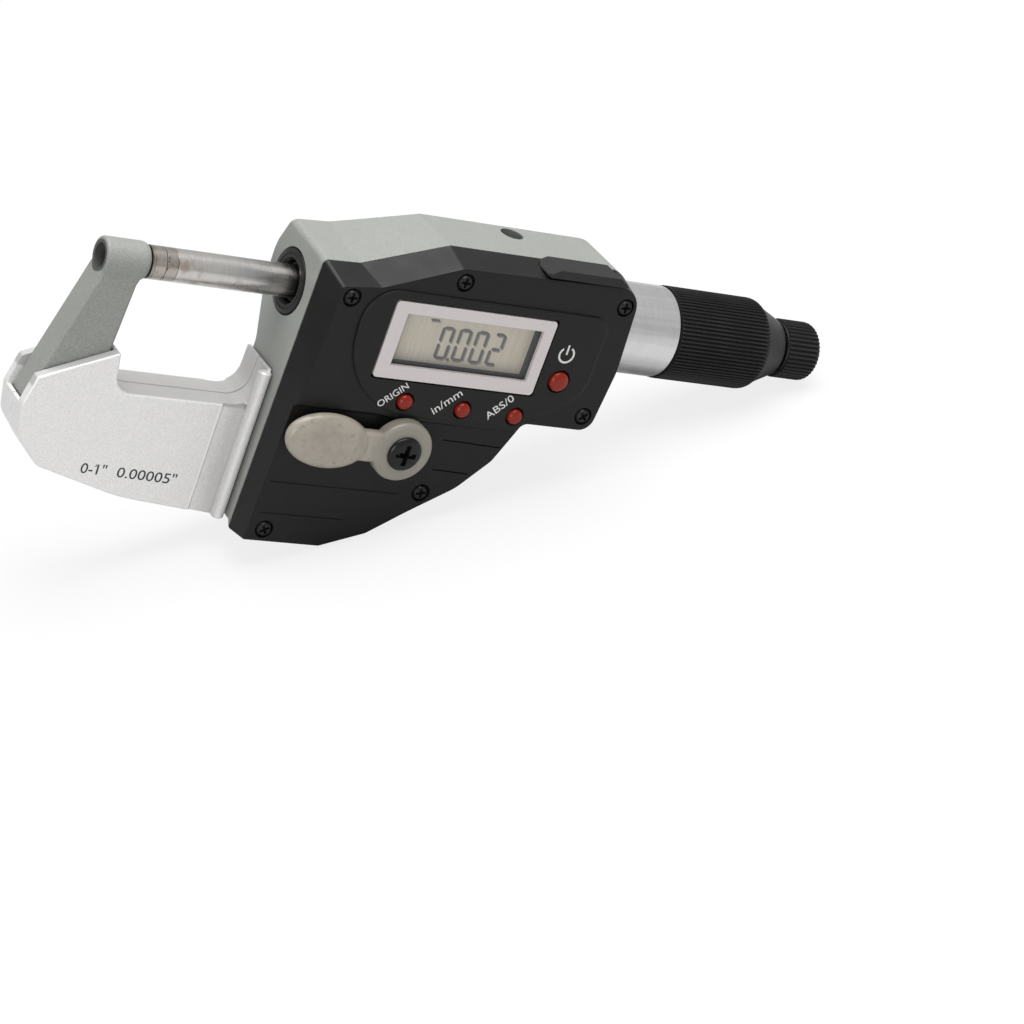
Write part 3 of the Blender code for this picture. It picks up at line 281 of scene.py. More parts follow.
class MicrometerColours(bpy.types.PropertyGroup):
    """Colours that a user would change."""

    enamel: colour("Casting enamel", "Grey-green textured enamel of the casting", 0.315, 0.325, 0.305)
    silver: colour("Shell silver", "Satin silver of the shells", 0.92, 0.91, 0.905)
    moulding: colour("Cover black", "Black of the moulded cover", 0.0105, 0.0098, 0.0098)
    blacking: colour("Black metal", "Black of thimble, knob and screws", 0.0095, 0.009, 0.0095)
    steel: colour("Spindle steel", "Ground steel of the spindle", 0.68, 0.66, 0.64)
    carbide: colour("Carbide", "Hard tips of spindle and anvil", 0.5, 0.46, 0.42)
    chrome: colour("Sleeve chrome", "Satin chrome of the sleeve", 0.74, 0.74, 0.745)
    milk: colour("Lever", "Milky grey moulding of the clamp lever", 0.37, 0.335, 0.28)
    red: colour("Buttons", "Red of the push buttons", 0.25, 0.018, 0.007)
    bezel: colour("Display frame", "Silvery print round the display", 0.68, 0.63, 0.63)
    liquid: colour("Display", "Grey of the liquid crystal panel", 0.66, 0.6, 0.49)
    rubber: colour("Rubber", "Dark grey rubber of plug and port cover", 0.026, 0.025, 0.025)
    ink: colour("White print", "White of the printed words", 0.78, 0.77, 0.76)


# Outlines seen from the front: corners are (across, up) or (across, up, rounding)

def rounding(corner):
    return corner[2] if len(corner) > 2 else 0.0


def rounded(corners):
    """Points of a closed outline with its corners rounded by arcs."""
    spots = [Vector(corner[:2]) for corner in corners]
    points = []
    for index, here in enumerate(spots):
        radius = rounding(corners[index])
        if radius == 0:
            points.append(here)
            continue
        before = (spots[index - 1] - here).normalized()
        after = (spots[(index + 1) % len(spots)] - here).normalized()
        half = before.angle(after) / 2
        middle = here + (before + after).normalized() * radius / math.sin(half)
        start = here + before * radius / math.tan(half) - middle
        end = here + after * radius / math.tan(half) - middle
        sweep = math.atan2(start.x * end.y - start.y * end.x, start.dot(end))
        for step in range(ARC_STEPS + 1):
            points.append(middle + Matrix.Rotation(sweep * step / ARC_STEPS, 2) @ start)
    return points


def inset(corners, distance):
    """The same corners with every side moved inwards, or outwards where the distance is negative."""
    spots = [Vector(corner[:2]) for corner in corners]
    area = sum(spots[i - 1].x * spots[i].y - spots[i].x * spots[i - 1].y for i in range(len(spots)))
    turn = 1 if area > 0 else -1
    result = []
    for index, here in enumerate(spots):
        arrive = (here - spots[index - 1]).normalized()
        leave = (spots[(index + 1) % len(spots)] - here).normalized()
        inward_in, inward_out = (Vector((-side.y, side.x)) * turn for side in (arrive, leave))
        moved = here + (inward_in + inward_out) * distance / (1 + inward_in.dot(inward_out))
        convex = (arrive.x * leave.y - arrive.y * leave.x) * turn > 0
        radius = rounding(corners[index])
        if radius:
            radius = max(radius - distance if convex else radius + distance, 0.1)
        result.append((moved.x, moved.y, radius))
    return result


def between(first, second, share):
    """Corners part of the way from one outline to another."""
    return [tuple(a + (b - a) * share for a, b in zip(*pair)) for pair in zip(first, second)]


def rectangle(left, right, low, high, radius=0.0):
    return [(left, low, radius), (right, low, radius), (right, high, radius), (left, high, radius)]


def body_corners():
    """Outline of the housing, with its rest edge parallel to the floor."""
    along = TOOL.to_3x3().col[0]
    tilt = math.atan2(-along.z, along.x)
    return [
        (BODY_LEFT, NOSE_TOP, 1.5), (35.3, NOSE_TOP + 0.6, 2.0), (52.6, BODY_TOP, 2.0),
        (BODY_RIGHT - 1.0, BODY_TOP, 6.0), (BODY_RIGHT + 0.4, -2.5, 20.0), (BODY_RIGHT - 1.0, NECK_Z, 4.0),
        (NECK_X, NECK_Z, 1.0), (75.9, -25.9, 6.0), (70.0, -33.1, 12.0),
        (REST_X + REST_LENGTH * math.cos(tilt), BODY_BOTTOM + REST_LENGTH * math.sin(tilt), 4.0),
        (REST_X, BODY_BOTTOM, 2.0), (BODY_LEFT, BODY_BOTTOM, 0.8),
        *[(BODY_LEFT, up, 0.0) for up in LEFT_SPOTS],
    ]


def seam_corners():
    """Outline of the joint between casting and cover, which stands a little wider on the left."""
    seam = body_corners()
    seam[:3] = (SEAM_LEFT, NOSE_TOP - 0.7, 1.2), (35.0, NOSE_TOP - 0.4, 2.0), (52.8, BODY_TOP - 0.1, 2.0)
    for index in range(11, len(seam)):
        up, radius = seam[index][1:]
        seam[index] = (SEAM_LEFT - SEAM_LEAN * (NOSE_TOP - up) / (NOSE_TOP - BODY_BOTTOM), up, radius)
    return seam


def face_corners():
    """Ridge round the cover's front, whose left side leans outwards below the display."""
    face = inset(seam_corners(), 1.0)
    face[:3] = (29.0, 7.6, 0.8), (37.4, 8.5, 2.0), (53.4, 14.6, 2.0)
    low, high = LEFT_SPOTS[0], LEFT_SPOTS[-1]
    for index in range(12, len(face)):
        up = face[index][1]
        share = min(max((up - low) / (high - low), 0.0), 1.0)
        face[index] = (28.2 + 0.85 * share * share * (3.0 - 2.0 * share), up, 0.0)
    return face


def recess_corners(right):
    """Lower part of the cover's front, which lies deeper than the part round the display."""
    return [
        (15.0, -17.7), (46.0, -17.7, 3.0), (51.0, -18.3, 3.0), (right, -18.3), (right, -60.0),
        (15.0, -60.0),
    ]


def bow_corners():
    """Outline of the arm and bow, one cast piece that runs on into the housing."""
    inside = BODY_LEFT + 6.0
    return [
        (BOSS_LEFT, 0.0), (BOSS_LEFT, -1.8, 1.0), (-20.4, NOTCH_Z + 1.0, 2.0), (-18.6, -36.2, 4.0),
        (-13.4, -40.6, 4.0), (5.0, BOW_BOTTOM, 30.0), (inside, BOW_BOTTOM - 1.4), (inside, BOW_FLOOR),
        (-5.0, BOW_FLOOR, 4.0), (-5.7, -18.0, 2.0), (-4.7, -4.0, 2.0), (BOSS_RIGHT - 0.3, 0.0),
    ]


def shell_corners():
    """Outline of the silver shells, wrapped round the bow with a thin wall."""
    return [
        (SHELL_LEFT + 1.5, -23.9, 0.8), (SHELL_LEFT, NOTCH_Z, 3.0), (SHELL_LEFT + 1.0, -36.0, 5.0),
        (-14.9, -42.4, 5.0), (4.0, SHELL_BOTTOM + 2.1, 40.0), (SHELL_RIGHT, SHELL_BOTTOM, 0.5),
        (SHELL_RIGHT, SHELL_RIM_Z, 0.2), (SHELL_RIGHT - 0.8, SHELL_RIM_Z, 0.2),
        (SHELL_RIGHT - 1.1, SHELL_FLOOR, 4.5), (-3.4, SHELL_FLOOR, 4.0), (-4.75, -17.0, 0.3),
    ]


def surround_corners():
    """Outline of the raised panel round the display."""
    return [
        (35.0, 8.6, 7.0), (35.0, NECK_Z, 17.2), (NECK_X - 2.0, NECK_Z + 0.1, 0.8),
        (80.4, -14.8, 2.5), (89.8, -8.6, 7.0), (89.8, 8.6, 3.8),
    ]


def display_corners(grown):
    return inset(rectangle(LCD_LEFT, LCD_RIGHT, LCD_LOW, LCD_HIGH, 0.4), -grown)


def paddle_corners():
    """Outline of the oval paddle, whose long axis droops a little towards the pivot."""
    tilt = Matrix.Rotation(-math.radians(PADDLE_DROOP), 2)
    angles = [2 * math.pi * step / PADDLE_STEPS for step in range(PADDLE_STEPS)]
    spots = [tilt @ Vector((PADDLE_LONG * math.cos(a), PADDLE_WIDE * math.sin(a))) for a in angles]
    return [(PADDLE_X + spot.x, PADDLE_Z + spot.y, 0.0) for spot in spots]


# Solids

def placed(name, data):
    """New object in the scene."""
    obj = bpy.data.objects.new(name, data)
    bpy.context.scene.collection.objects.link(obj)
    return obj


def solid(bm):
    """Object of a finished bmesh, with its faces turned outwards."""
    bmesh.ops.recalc_face_normals(bm, faces=bm.faces)
    mesh = bpy.data.meshes.new("solid")
    bm.to_mesh(mesh)
    bm.free()
    return placed("solid", mesh)


def points_at(spots, faces=()):
    """Object of loose points, each (across, depth, up), or of the faces between them."""
    mesh = bpy.data.meshes.new("points")
    mesh.from_pydata(spots, [], faces)
    return placed("points", mesh)


def skin(loops):
    """Solid through rings of equally many points, closed by a face at each end."""
    bm = bmesh.new()
    rings = [[bm.verts.new(point) for point in loop] for loop in loops]
    bm.faces.new(rings[0])
    bm.faces.new(rings[-1])
    for ring, following in zip(rings, rings[1:]):
        for index in range(len(ring)):
            bm.faces.new((ring[index - 1], ring[index], following[index], following[index - 1]))
    return solid(bm)


def loft(*sections):
    """Solid through outlines seen from the front, each (depth, corners) at its own depth."""
    return skin([[(p.x, depth, p.y) for p in rounded(corners)] for depth, corners in sections])


def layers(corners, *steps):
    """Solid through one outline at several depths, each (depth, how far its sides lie inwards)."""
    return loft(*[(depth, inset(corners, inwards)) for depth, inwards in steps])


def prism(corners, front, back):
    return loft((front, corners), (back, corners))


def bar(corners, left, right):
    """Solid whose (depth, up) section runs along the spindle's direction."""
    return skin([[(across, p.x, p.y) for p in rounded(corners)] for across in (left, right)])


def column(corners, low, high):
    """Solid whose (across, depth) section runs upwards."""
    return skin([[(p.x, p.y, up) for p in rounded(corners)] for up in (low, high)])


def turned(profile, axis="X", centre=(0, 0, 0), steps=ROUND_STEPS):
    """Solid of revolution through (along, radius) points; a profile off the axis closes on itself."""
    first = "XYZ".index(axis)
    along, side, other = (UNITS * 2)[first:first + 3]
    angles = [2 * math.pi * step / steps for step in range(steps)]
    bm = bmesh.new()
    rings = []
    for distance, radius in profile:
        middle = Vector(centre) + along * distance
        round_about = [middle + (side * math.cos(a) + other * math.sin(a)) * radius for a in angles]
        rings.append([bm.verts.new(spot) for spot in (round_about if radius else [middle])])
    pairs = list(zip(rings, rings[1:]))
    if profile[0][1] != 0:
        pairs.append((rings[-1], rings[0]))
    for pair in pairs:
        for step in range(steps):
            ring, following = ([loop[(step - 1) % len(loop)], loop[step % len(loop)]] for loop in pair)
            bm.faces.new(list(dict.fromkeys(ring + following[::-1])))
    return solid(bm)


def spun(profile, axis="X", centre=(0, 0, 0), steps=ROUND_STEPS):
    """Solid of revolution through a profile, closed on the axis at both ends."""
    return turned([(profile[0][0], 0), *profile, (profile[-1][0], 0)], axis, centre, steps)


def stepped(axis, centre, start, *parts, steps=ROUND_STEPS):
    """Round bar in plain steps, each (radius, end), with its ends measured from its centre point."""
    profile = []
    for radius, end in parts:
        profile += [(start, radius), (end, radius)]
        start = end
    return spun(profile, axis, centre, steps)


def rod(axis, centre, radius, start, end, steps=SMALL_STEPS):
    """Plain cylinder along an axis, from start to end measured from its centre point."""
    return stepped(axis, centre, start, (radius, end), steps=steps)


def arc(along, radius, reach, first, last):
    """Profile points on a small arc round (along, radius), from one angle to another in degrees."""
    angles = [math.radians(first + (last - first) * step / EDGE_STEPS) for step in range(EDGE_STEPS + 1)]
    return [(along + reach * math.cos(angle), radius + reach * math.sin(angle)) for angle in angles]


def modified_mesh(obj):
    """What an object's modifiers, or its letters, come to as a plain mesh."""
    bpy.context.view_layer.update()
    return bpy.data.meshes.new_from_object(obj.evaluated_get(bpy.context.evaluated_depsgraph_get()))


def bake(obj):
    """Replace an object's mesh with what its modifiers make of it."""
    mesh = modified_mesh(obj)
    obj.modifiers.clear()
    obj.data = mesh
    return obj


def combine(target, operation, tools):
    for tool in tools:
        change = target.modifiers.new(operation, "BOOLEAN")
        change.operation = operation
        change.solver = "EXACT"
        change.object = tool
    bake(target)
    for tool in tools:
        bpy.data.objects.remove(tool, do_unlink=True)
    return target


def cut(target, *tools):
    return combine(target, "DIFFERENCE", tools)


def fuse(target, *tools):
    return combine(target, "UNION", tools)


def trim(target, *tools):
    return combine(target, "INTERSECT", tools)


def soften(target, width, angle=35.0):
    """Round every edge that is sharper than the angle, as a casting or moulding is."""
    change = target.modifiers.new("Bevel", "BEVEL")
    change.width = width
    change.segments = 4
    change.limit_method = "ANGLE"
    change.angle_limit = math.radians(angle)
    return bake(target)


def join(*parts):
    """One object of several loose shapes."""
    bm = bmesh.new()
    for part in parts:
        bm.from_mesh(part.data)
        bpy.data.objects.remove(part, do_unlink=True)
    return solid(bm)


def settle(name, obj, body, material, slot, *nodes):
    """Name a piece, take it to its place in the model and let it stand for its solids."""
    bm = bmesh.new()
    bm.from_mesh(obj.data)
    bmesh.ops.remove_doubles(bm, verts=bm.verts, dist=0.0008)
    bmesh.ops.dissolve_degenerate(bm, edges=bm.edges, dist=0.0005)
    bmesh.ops.recalc_face_normals(bm, faces=bm.faces)
    bm.to_mesh(obj.data)
    bm.free()
    obj.data.transform(TOOL)
    obj.name = obj.data.name = name
    obj.data.materials.clear()
    obj.data.materials.append(material)
    for face in obj.data.polygons:
        face.material_index = 0
    obj.data.shade_smooth()
    obj.data.set_sharp_from_angle(angle=math.radians(SHARP_ANGLE))
    obj.modifiers.new("Weigh", "WEIGHTED_NORMAL").keep_sharp = True
    bake(obj)
    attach(obj, body)
    if nodes:
        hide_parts(*nodes)


def dress(name, material):
    """Give one of the frame's own solids another finish."""
    materials = frame["nodes"][name].data.materials
    materials.clear()
    materials.append(material)


# Node trees

def plug(tree, socket, value):
    """Give a socket a link, a list of links or a plain value, with colours filled up to four numbers."""
    if isinstance(value, list):
        for wire in value:
            tree.links.new(wire.socket, socket)
    elif isinstance(value, Wire):
        tree.links.new(value.socket, socket)
    elif socket.type == "RGBA" and len(value) == 3:
        socket.default_value = (*value, 1.0)
    else:
        socket.default_value = value


def forward(kind):
    """Operator method that adds a Math node of a wire and a second term."""
    return lambda wire, other: wire.math(kind, other)


def backward(kind):
    """The same for an operator whose first term isn't a wire."""
    return lambda wire, other: wire.math(kind, first=other)


class Wire:
    """One output of a node, on which plain arithmetic adds Math nodes."""

    __add__, __radd__ = forward("ADD"), backward("ADD")
    __sub__, __rsub__ = forward("SUBTRACT"), backward("SUBTRACT")
    __mul__, __rmul__ = forward("MULTIPLY"), backward("MULTIPLY")
    __truediv__ = forward("DIVIDE")
    __gt__, __lt__ = forward("GREATER_THAN"), forward("LESS_THAN")

    def __init__(self, tree, socket):
        self.tree = tree
        self.socket = socket

    def math(self, operation, *others, first=None):
        """Math node of this output and some others, or of a first term and this output."""
        node = self.tree.nodes.new("ShaderNodeMath")
        node.operation = operation
        terms = (self, *others) if first is None else (first, self)
        for socket, term in zip(node.inputs, terms):
            plug(self.tree, socket, term)
        return Wire(self.tree, node.outputs[0])


class Recipe:
    """A node tree with one short way to add a node to it."""

    def __init__(self, tree):
        self.tree = tree

    def node(self, kind, sockets=None, output=0, **settings):
        """Add a node with its socket values and settings, and return one of its outputs."""
        node = self.tree.nodes.new(kind)
        for name, value in settings.items():
            setattr(node, name, value)
        for name, value in (sockets or {}).items():
            live = [socket for socket in node.inputs if socket.name == name and socket.enabled]
            plug(self.tree, live[0] if live else node.inputs[name], value)
        return Wire(self.tree, node.outputs[output]) if node.outputs else None

    def vector(self, x=0.0, y=0.0, z=0.0):
        return self.node("ShaderNodeCombineXYZ", {"X": x, "Y": y, "Z": z})

    def split(self, vector):
        """The three numbers of a vector."""
        node = self.node("ShaderNodeSeparateXYZ", {"Vector": vector}).socket.node
        return [Wire(self.tree, socket) for socket in node.outputs]

    def times(self, vector, scale):
        return self.node("ShaderNodeVectorMath", {0: vector, 1: scale}, operation="MULTIPLY")

    def rotation(self, x=0.0, z=0.0):
        return self.node("FunctionNodeEulerToRotation", {"Euler": self.vector(x, 0.0, z)})


class Finish(Recipe):
    """A material round one Principled shader, with patterns laid out in the tool's millimetres."""

    def __init__(self, name, tint, roughness, metallic=0.0, **uniform):
        self.material = bpy.data.materials.new(name)
        self.material.use_nodes = True
        super().__init__(self.material.node_tree)
        self.tint = tint
        self.set("Base Color", tint)
        self.set("Roughness", roughness)
        self.set("Metallic", metallic)
        for label, value in uniform.items():
            self.set(label.replace("_", " ").title().replace("Ior", "IOR"), value)
        turn = TOOL.to_3x3().normalized().transposed()
        self.place = self.node("ShaderNodeMapping", {
            "Vector": self.node("ShaderNodeTexCoord", output="Object"),
            "Location": tuple(turn @ TOOL.translation * -1000.0),
            "Rotation": tuple(turn.to_euler()),
            "Scale": (1000.0, 1000.0, 1000.0),
        }, vector_type="POINT")

    def set(self, label, value):
        plug(self.tree, self.tree.nodes["Principled BSDF"].inputs[label], value)

    def done(self, shade, roughness, relief=None):
        """The material, with what varies over it."""
        self.set("Base Color", shade)
        self.set("Roughness", roughness)
        if relief:
            self.set("Normal", relief)
        return self.material

    def noise(self, scale, detail=2.0, stretch=None, roughness=0.5):
        """Noise whose pattern can run out along an axis."""
        place = self.times(self.place, stretch) if stretch else self.place
        return self.node(
            "ShaderNodeTexNoise", {"Vector": place, "Scale": scale, "Detail": detail, "Roughness": roughness}
        )

    def cells(self, scale):
        """Distance to the nearest of many scattered points, for grains and pits."""
        return self.node("ShaderNodeTexVoronoi", {"Vector": self.place, "Scale": scale})

    def ramp(self, value, low, high):
        """Value stretched so that low gives 0 and high gives 1, clamped between."""
        sockets = {"Value": value, "From Min": low, "From Max": high}
        return self.node("ShaderNodeMapRange", sockets, clamp=True, interpolation_type="SMOOTHSTEP")

    def scaled(self, factor):
        return tuple(min(channel * factor, 1.0) for channel in self.tint)

    def veil(self, shade, share, cover):
        """Shade covered by a share of another colour, or of the tint times a number."""
        cover = cover if isinstance(cover, tuple) else self.scaled(cover)
        sockets = {"Factor": share, "A": shade, "B": cover}
        return self.node("ShaderNodeMix", sockets, 2, data_type="RGBA", clamp_factor=True)

    def mottle(self, share, dark, light):
        """The tint between a darker and a lighter one."""
        return self.veil(self.scaled(dark), share, light)

    def bump(self, height, strength, depth, under=None):
        """Relief of that depth in millimetres on top of another relief."""
        sockets = {"Height": height, "Strength": strength, "Distance": depth * MM}
        if under:
            sockets["Normal"] = under
        return self.node("ShaderNodeBump", sockets)


# Finishes

def enamel_finish(name, tint):
    """Textured enamel over a casting, with fine grain, light rubbing and painted shade in the anvil bore."""
    look = Finish(name, tint, 0.5, specular_ior_level=0.45)
    grain = look.noise(3.3, 3.0)
    fleck = look.cells(4.5)
    broad = look.noise(0.12)
    across, depth, up = look.split(look.place)
    # Painted shade in the anvil bore: the enamel close to the axis, left of the faces, is darkened below.
    bore = look.ramp((depth * depth + up * up).math("SQRT"), 3.3, 2.9)
    shade = look.mottle(look.ramp(grain, 0.35, 0.65), 0.88, 1.09)
    shade = look.veil(shade, look.ramp(broad, 0.35, 0.7) * 0.35, 0.93)
    shade = look.veil(shade, look.ramp(fleck, 0.2, 0.05) * 0.5, 1.35)
    shade = look.veil(shade, bore * look.ramp(across, 0.0, -0.5) * 0.95, 0.2)
    relief = look.bump(grain * 0.7 + fleck * 0.5, 0.5, 0.035, look.bump(broad, 0.3, 0.3))
    return look.done(shade, 0.4 + look.ramp(grain, 0.3, 0.7) * 0.22, relief)


def silver_finish(name, tint):
    """Satin silver with a fine pearly grain, duller and with painted shade on its floor, rim and inner faces,
    painted shade in its channel and a painted highlight on its lip.
    """
    look = Finish(name, tint, 0.34, 0.2)
    grain = look.noise(4.5, 3.0)
    across, depth, up = look.split(look.place)
    # Floor, rim and inner faces: a duller finish, and their colour darkened as painted shade.
    inner = look.ramp(depth.math("ABSOLUTE"), SHELL_HALF - 0.05, SHELL_HALF - 0.5)
    inner = inner * look.ramp(up, SHELL_FLOOR - 1.0, SHELL_FLOOR - 0.4)
    # Painted shade in the channel between groove and bead.
    channel = look.ramp(across, GROOVE_LEFT, BEAD_X - 1.0) * look.ramp(across, BEAD_X - 0.2, BEAD_X - 1.1)
    # Painted highlight: a thin white line along the lip at the groove's left edge.
    lip = (across - (GROOVE_LEFT - 0.2)).math("ABSOLUTE")
    lightened_ridge = look.ramp(lip, 0.32, 0.12) * look.ramp(up, SHELL_FLOOR, SHELL_FLOOR - 0.5)
    shade = look.mottle(look.ramp(grain, 0.3, 0.7), 0.86, 1.06)
    shade = look.veil(shade, inner * 0.75, 0.48)
    shade = look.veil(shade, channel * 0.55, 0.5)
    shade = look.veil(shade, lightened_ridge * 0.9, (1.0, 1.0, 1.0))
    roughness = 0.28 + grain * 0.12 + look.noise(0.08, 1.0) * 0.06 + inner * 0.15
    return look.done(shade, roughness, look.bump(grain, 0.4, 0.012))


def moulded_finish(name, tint, roughness, grain_scale, relief=0.02, worn=0.5):
    """Moulded plastic or rubber with a fine spark-eroded grain and faint handling marks."""
    look = Finish(name, tint, roughness, specular_ior_level=0.24)
    grain = look.noise(grain_scale, 3.0)
    smear = look.noise(0.16, 3.0)
    shade = look.mottle(look.ramp(grain, 0.3, 0.7), 0.86, 1.12)
    shade = look.veil(shade, look.ramp(smear, 0.5, 0.75) * worn, 1.3)
    gloss = roughness - 0.06 + look.ramp(smear, 0.3, 0.7) * 0.12
    return look.done(shade, gloss, look.bump(grain, 0.4, relief))


def ground_finish(name, tint, roughness, lines, stain_and_shade=0.0):
    """Steel ground or turned on its axis, with fine rings, warm handling stains, a painted shade ring where
    it enters the boss and painted dark reflections along its length.
    """
    look = Finish(name, tint, roughness, 1.0)
    rings = look.noise(1.0, 4.0, (lines, 0.12, 0.12), 0.7)
    blotch = look.ramp(look.noise(0.35, 3.0), 0.5, 0.7)
    across = look.split(look.place)[0]
    warm = tuple(channel * part for channel, part in zip(tint, (0.62, 0.5, 0.4)))
    near = look.ramp(across, 12.0, 1.0) * 0.6 + 0.25
    gap = look.ramp(across.math("ABSOLUTE"), 1.1, 0.2)
    scratch = look.ramp(look.noise(1.1, 4.0, (1.0, 0.5, 0.5), 0.7), 0.54, 0.6)
    # Painted shade: the steel darkens towards the boss, where the anvil enters it.
    edge = look.ramp(across, BOSS_RIGHT + 0.9, BOSS_RIGHT + 0.1)
    # Painted dark reflections: lengthwise streaks that darken the steel more and more from 9 mm to 27 mm
    # along the axis, towards the bush.
    dark_reflection_streaks = look.ramp(look.noise(0.5, 2.0, (0.05, 1.6, 1.6)), 0.42, 0.6)
    shade = look.mottle(look.ramp(rings, 0.3, 0.7), 0.94, 1.05)
    shade = look.veil(shade, blotch * near * stain_and_shade, warm)
    shade = look.veil(shade, gap * scratch * stain_and_shade * 0.8, (0.07, 0.06, 0.055))
    shade = look.veil(shade, edge * stain_and_shade * 0.75, (0.13, 0.125, 0.1))
    shade = look.veil(shade, look.ramp(across, 9.0, 27.0) * dark_reflection_streaks * stain_and_shade * 0.75, 0.3)
    return look.done(shade, roughness - 0.05 + rings * 0.12 + blotch * 0.08, look.bump(rings, 0.15, 0.003))


def black_metal_finish(name, tint, roughness, crest=0.0):
    """Blackened metal with a soft sheen, duller and with painted shade in the grooves under a crest radius,
    and lighter in patches on the crests.
    """
    look = Finish(name, tint, roughness, specular_ior_level=0.32)
    grain = look.noise(7.0, 3.0)
    smear = look.noise(0.2, 3.0)
    shade = look.mottle(look.ramp(grain, 0.35, 0.7), 0.85, 1.25)
    shade = look.veil(shade, look.ramp(smear, 0.5, 0.75) * 0.5, 1.6)
    gloss = roughness - 0.04 + look.ramp(smear, 0.3, 0.7) * 0.1
    if crest:
        _, depth, up = look.split(look.place)
        reach = (depth * depth + up * up).math("SQRT")
        # Grooves between the ribs: rougher, and their colour darkened as painted shade.
        groove = look.ramp(reach, crest - 0.08, crest - 0.3) * look.ramp(reach, crest - 0.6, crest - 0.4)
        shade = look.veil(shade, groove * 0.9, 0.1)
        # The crests are made lighter in patches.
        lightened_ridge = look.ramp(reach, crest - 0.12, crest) * look.ramp(smear, 0.35, 0.6)
        shade = look.veil(shade, lightened_ridge * 0.6, 2.4)
        gloss = gloss + groove * 0.4
    return look.done(shade, gloss, look.bump(grain, 0.3, 0.012))


def glossy_finish(name, tint, roughness):
    """Smooth glossy moulding with faint waves and specks of dust."""
    look = Finish(name, tint, roughness, specular_ior_level=0.3)
    wave = look.noise(0.9)
    shade = look.mottle(look.ramp(look.cells(1.6), 0.1, 0.03) * 0.25, 1.0, 1.6)
    return look.done(shade, roughness + look.ramp(wave, 0.4, 0.7) * 0.08, look.bump(wave, 0.15, 0.03))


def milky_finish(name, tint):
    """Milky moulding, cloudy and spotted, and darker towards its hub."""
    look = Finish(name, tint, 0.34, coat_weight=0.15, coat_roughness=0.25)
    cloud = look.noise(0.35, 3.0)
    spots = look.ramp(look.noise(0.9, 4.0), 0.56, 0.72)
    hub = look.ramp(look.split(look.place)[0], 44.5, 48.0)
    shade = look.mottle(look.ramp(cloud, 0.35, 0.7), 1.06, 0.9)
    shade = look.veil(shade, spots * 0.45, (0.2, 0.165, 0.14))
    shade = look.veil(shade, hub * 0.9, (0.27, 0.255, 0.215))
    relief = look.bump(cloud, 0.2, 0.12, look.bump(look.noise(5.0), 0.2, 0.01))
    return look.done(shade, 0.3 + cloud * 0.12, relief)


def bezel_finish(name, tint):
    """Silvery print with a fine brushed grain."""
    look = Finish(name, tint, 0.32, 0.25)
    grain = look.noise(1.2, 3.0, (0.15, 1.0, 4.0))
    return look.done(look.mottle(grain, 0.95, 1.04), 0.26 + grain * 0.14)


def panel_finish(name, tint):
    """Liquid crystal panel: pale grey with a fine vertical ripple and painted shade along its lower edge."""
    look = Finish(name, tint, 0.3)
    ripple = look.noise(1.4, 1.0, (2.0, 1.0, 0.1))
    shade = look.mottle(look.ramp(ripple, 0.3, 0.7), 0.95, 1.05)
    # Painted shade towards the panel's lower edge.
    shade = look.veil(shade, look.ramp(look.split(look.place)[2], -3.6, -7.6) * 0.3, (0.2, 0.2, 0.2))
    return look.done(shade, 0.25 + ripple * 0.1)


def glass_finish(name):
    """Clear window that shows only its gloss and a few specks."""
    tint = (0.6, 0.62, 0.62)
    look = Finish(name, tint, 0.04, specular_ior_level=0.5)
    look.set("Alpha", 0.07 + look.ramp(look.cells(1.1), 0.05, 0.02) * 0.2)
    return look.done(tint, 0.03 + look.noise(0.5) * 0.04)


def print_finish(name, tint):
    """Printed ink with slightly uneven cover."""
    look = Finish(name, tint, 0.5)
    patchy = look.noise(4.0)
    return look.done(look.mottle(look.ramp(patchy, 0.3, 0.6), 0.8, 1.0), 0.4 + patchy * 0.2)


def board_finish(name, tint):
    """Circuit board lacquer over faint copper tracks."""
    look = Finish(name, tint, 0.4)
    tracks = look.node("ShaderNodeTexBrick", {"Vector": look.place, "Scale": 0.8}, 1)
    shade = look.veil(tint, tracks * 0.5, (0.05, 0.26, 0.12))
    return look.done(shade, 0.35 + look.noise(2.0) * 0.15, look.bump(tracks, 0.4, 0.03))


# Repeated shapes

def tree_with(name, inputs):
    """A new geometry tree and its inputs by name, each with the kind of its default or a material."""
    tree = bpy.data.node_groups.new(name, "GeometryNodeTree")
    for way in ("INPUT", "OUTPUT"):
        tree.interface.new_socket("Geometry", in_out=way, socket_type="NodeSocketGeometry")
    for label, default in inputs.items():
        kind = {int: "NodeSocketInt", float: "NodeSocketFloat"}[type(default)]
        tree.interface.new_socket(label, in_out="INPUT", socket_type=kind).default_value = default
    tree.interface.new_socket("Material", in_out="INPUT", socket_type="NodeSocketMaterial")
    entry = tree.nodes.new("NodeGroupInput")
    return Recipe(tree), {socket.name: Wire(tree, socket) for socket in entry.outputs if socket.name}


def close_tree(recipe, geometry, material):
    """End a tree with real geometry that carries its material."""
    real = recipe.node("GeometryNodeRealizeInstances", {"Geometry": geometry})
    painted = recipe.node("GeometryNodeSetMaterial", {"Geometry": real, "Material": material})
    recipe.node("NodeGroupOutput", {"Geometry": painted})
    return recipe.tree


def grow(base, tree, **values):
    """Run a geometry tree over a base mesh with the given inputs and keep the plain mesh."""
    change = base.modifiers.new(tree.name, "NODES")
    change.node_group = tree
    for item in tree.interface.items_tree:
        label = item.name.lower().replace(" ", "_").replace("-", "_")
        if item.in_out == "INPUT" and label in values:
            change[item.identifier] = values[label]
    return bake(base)


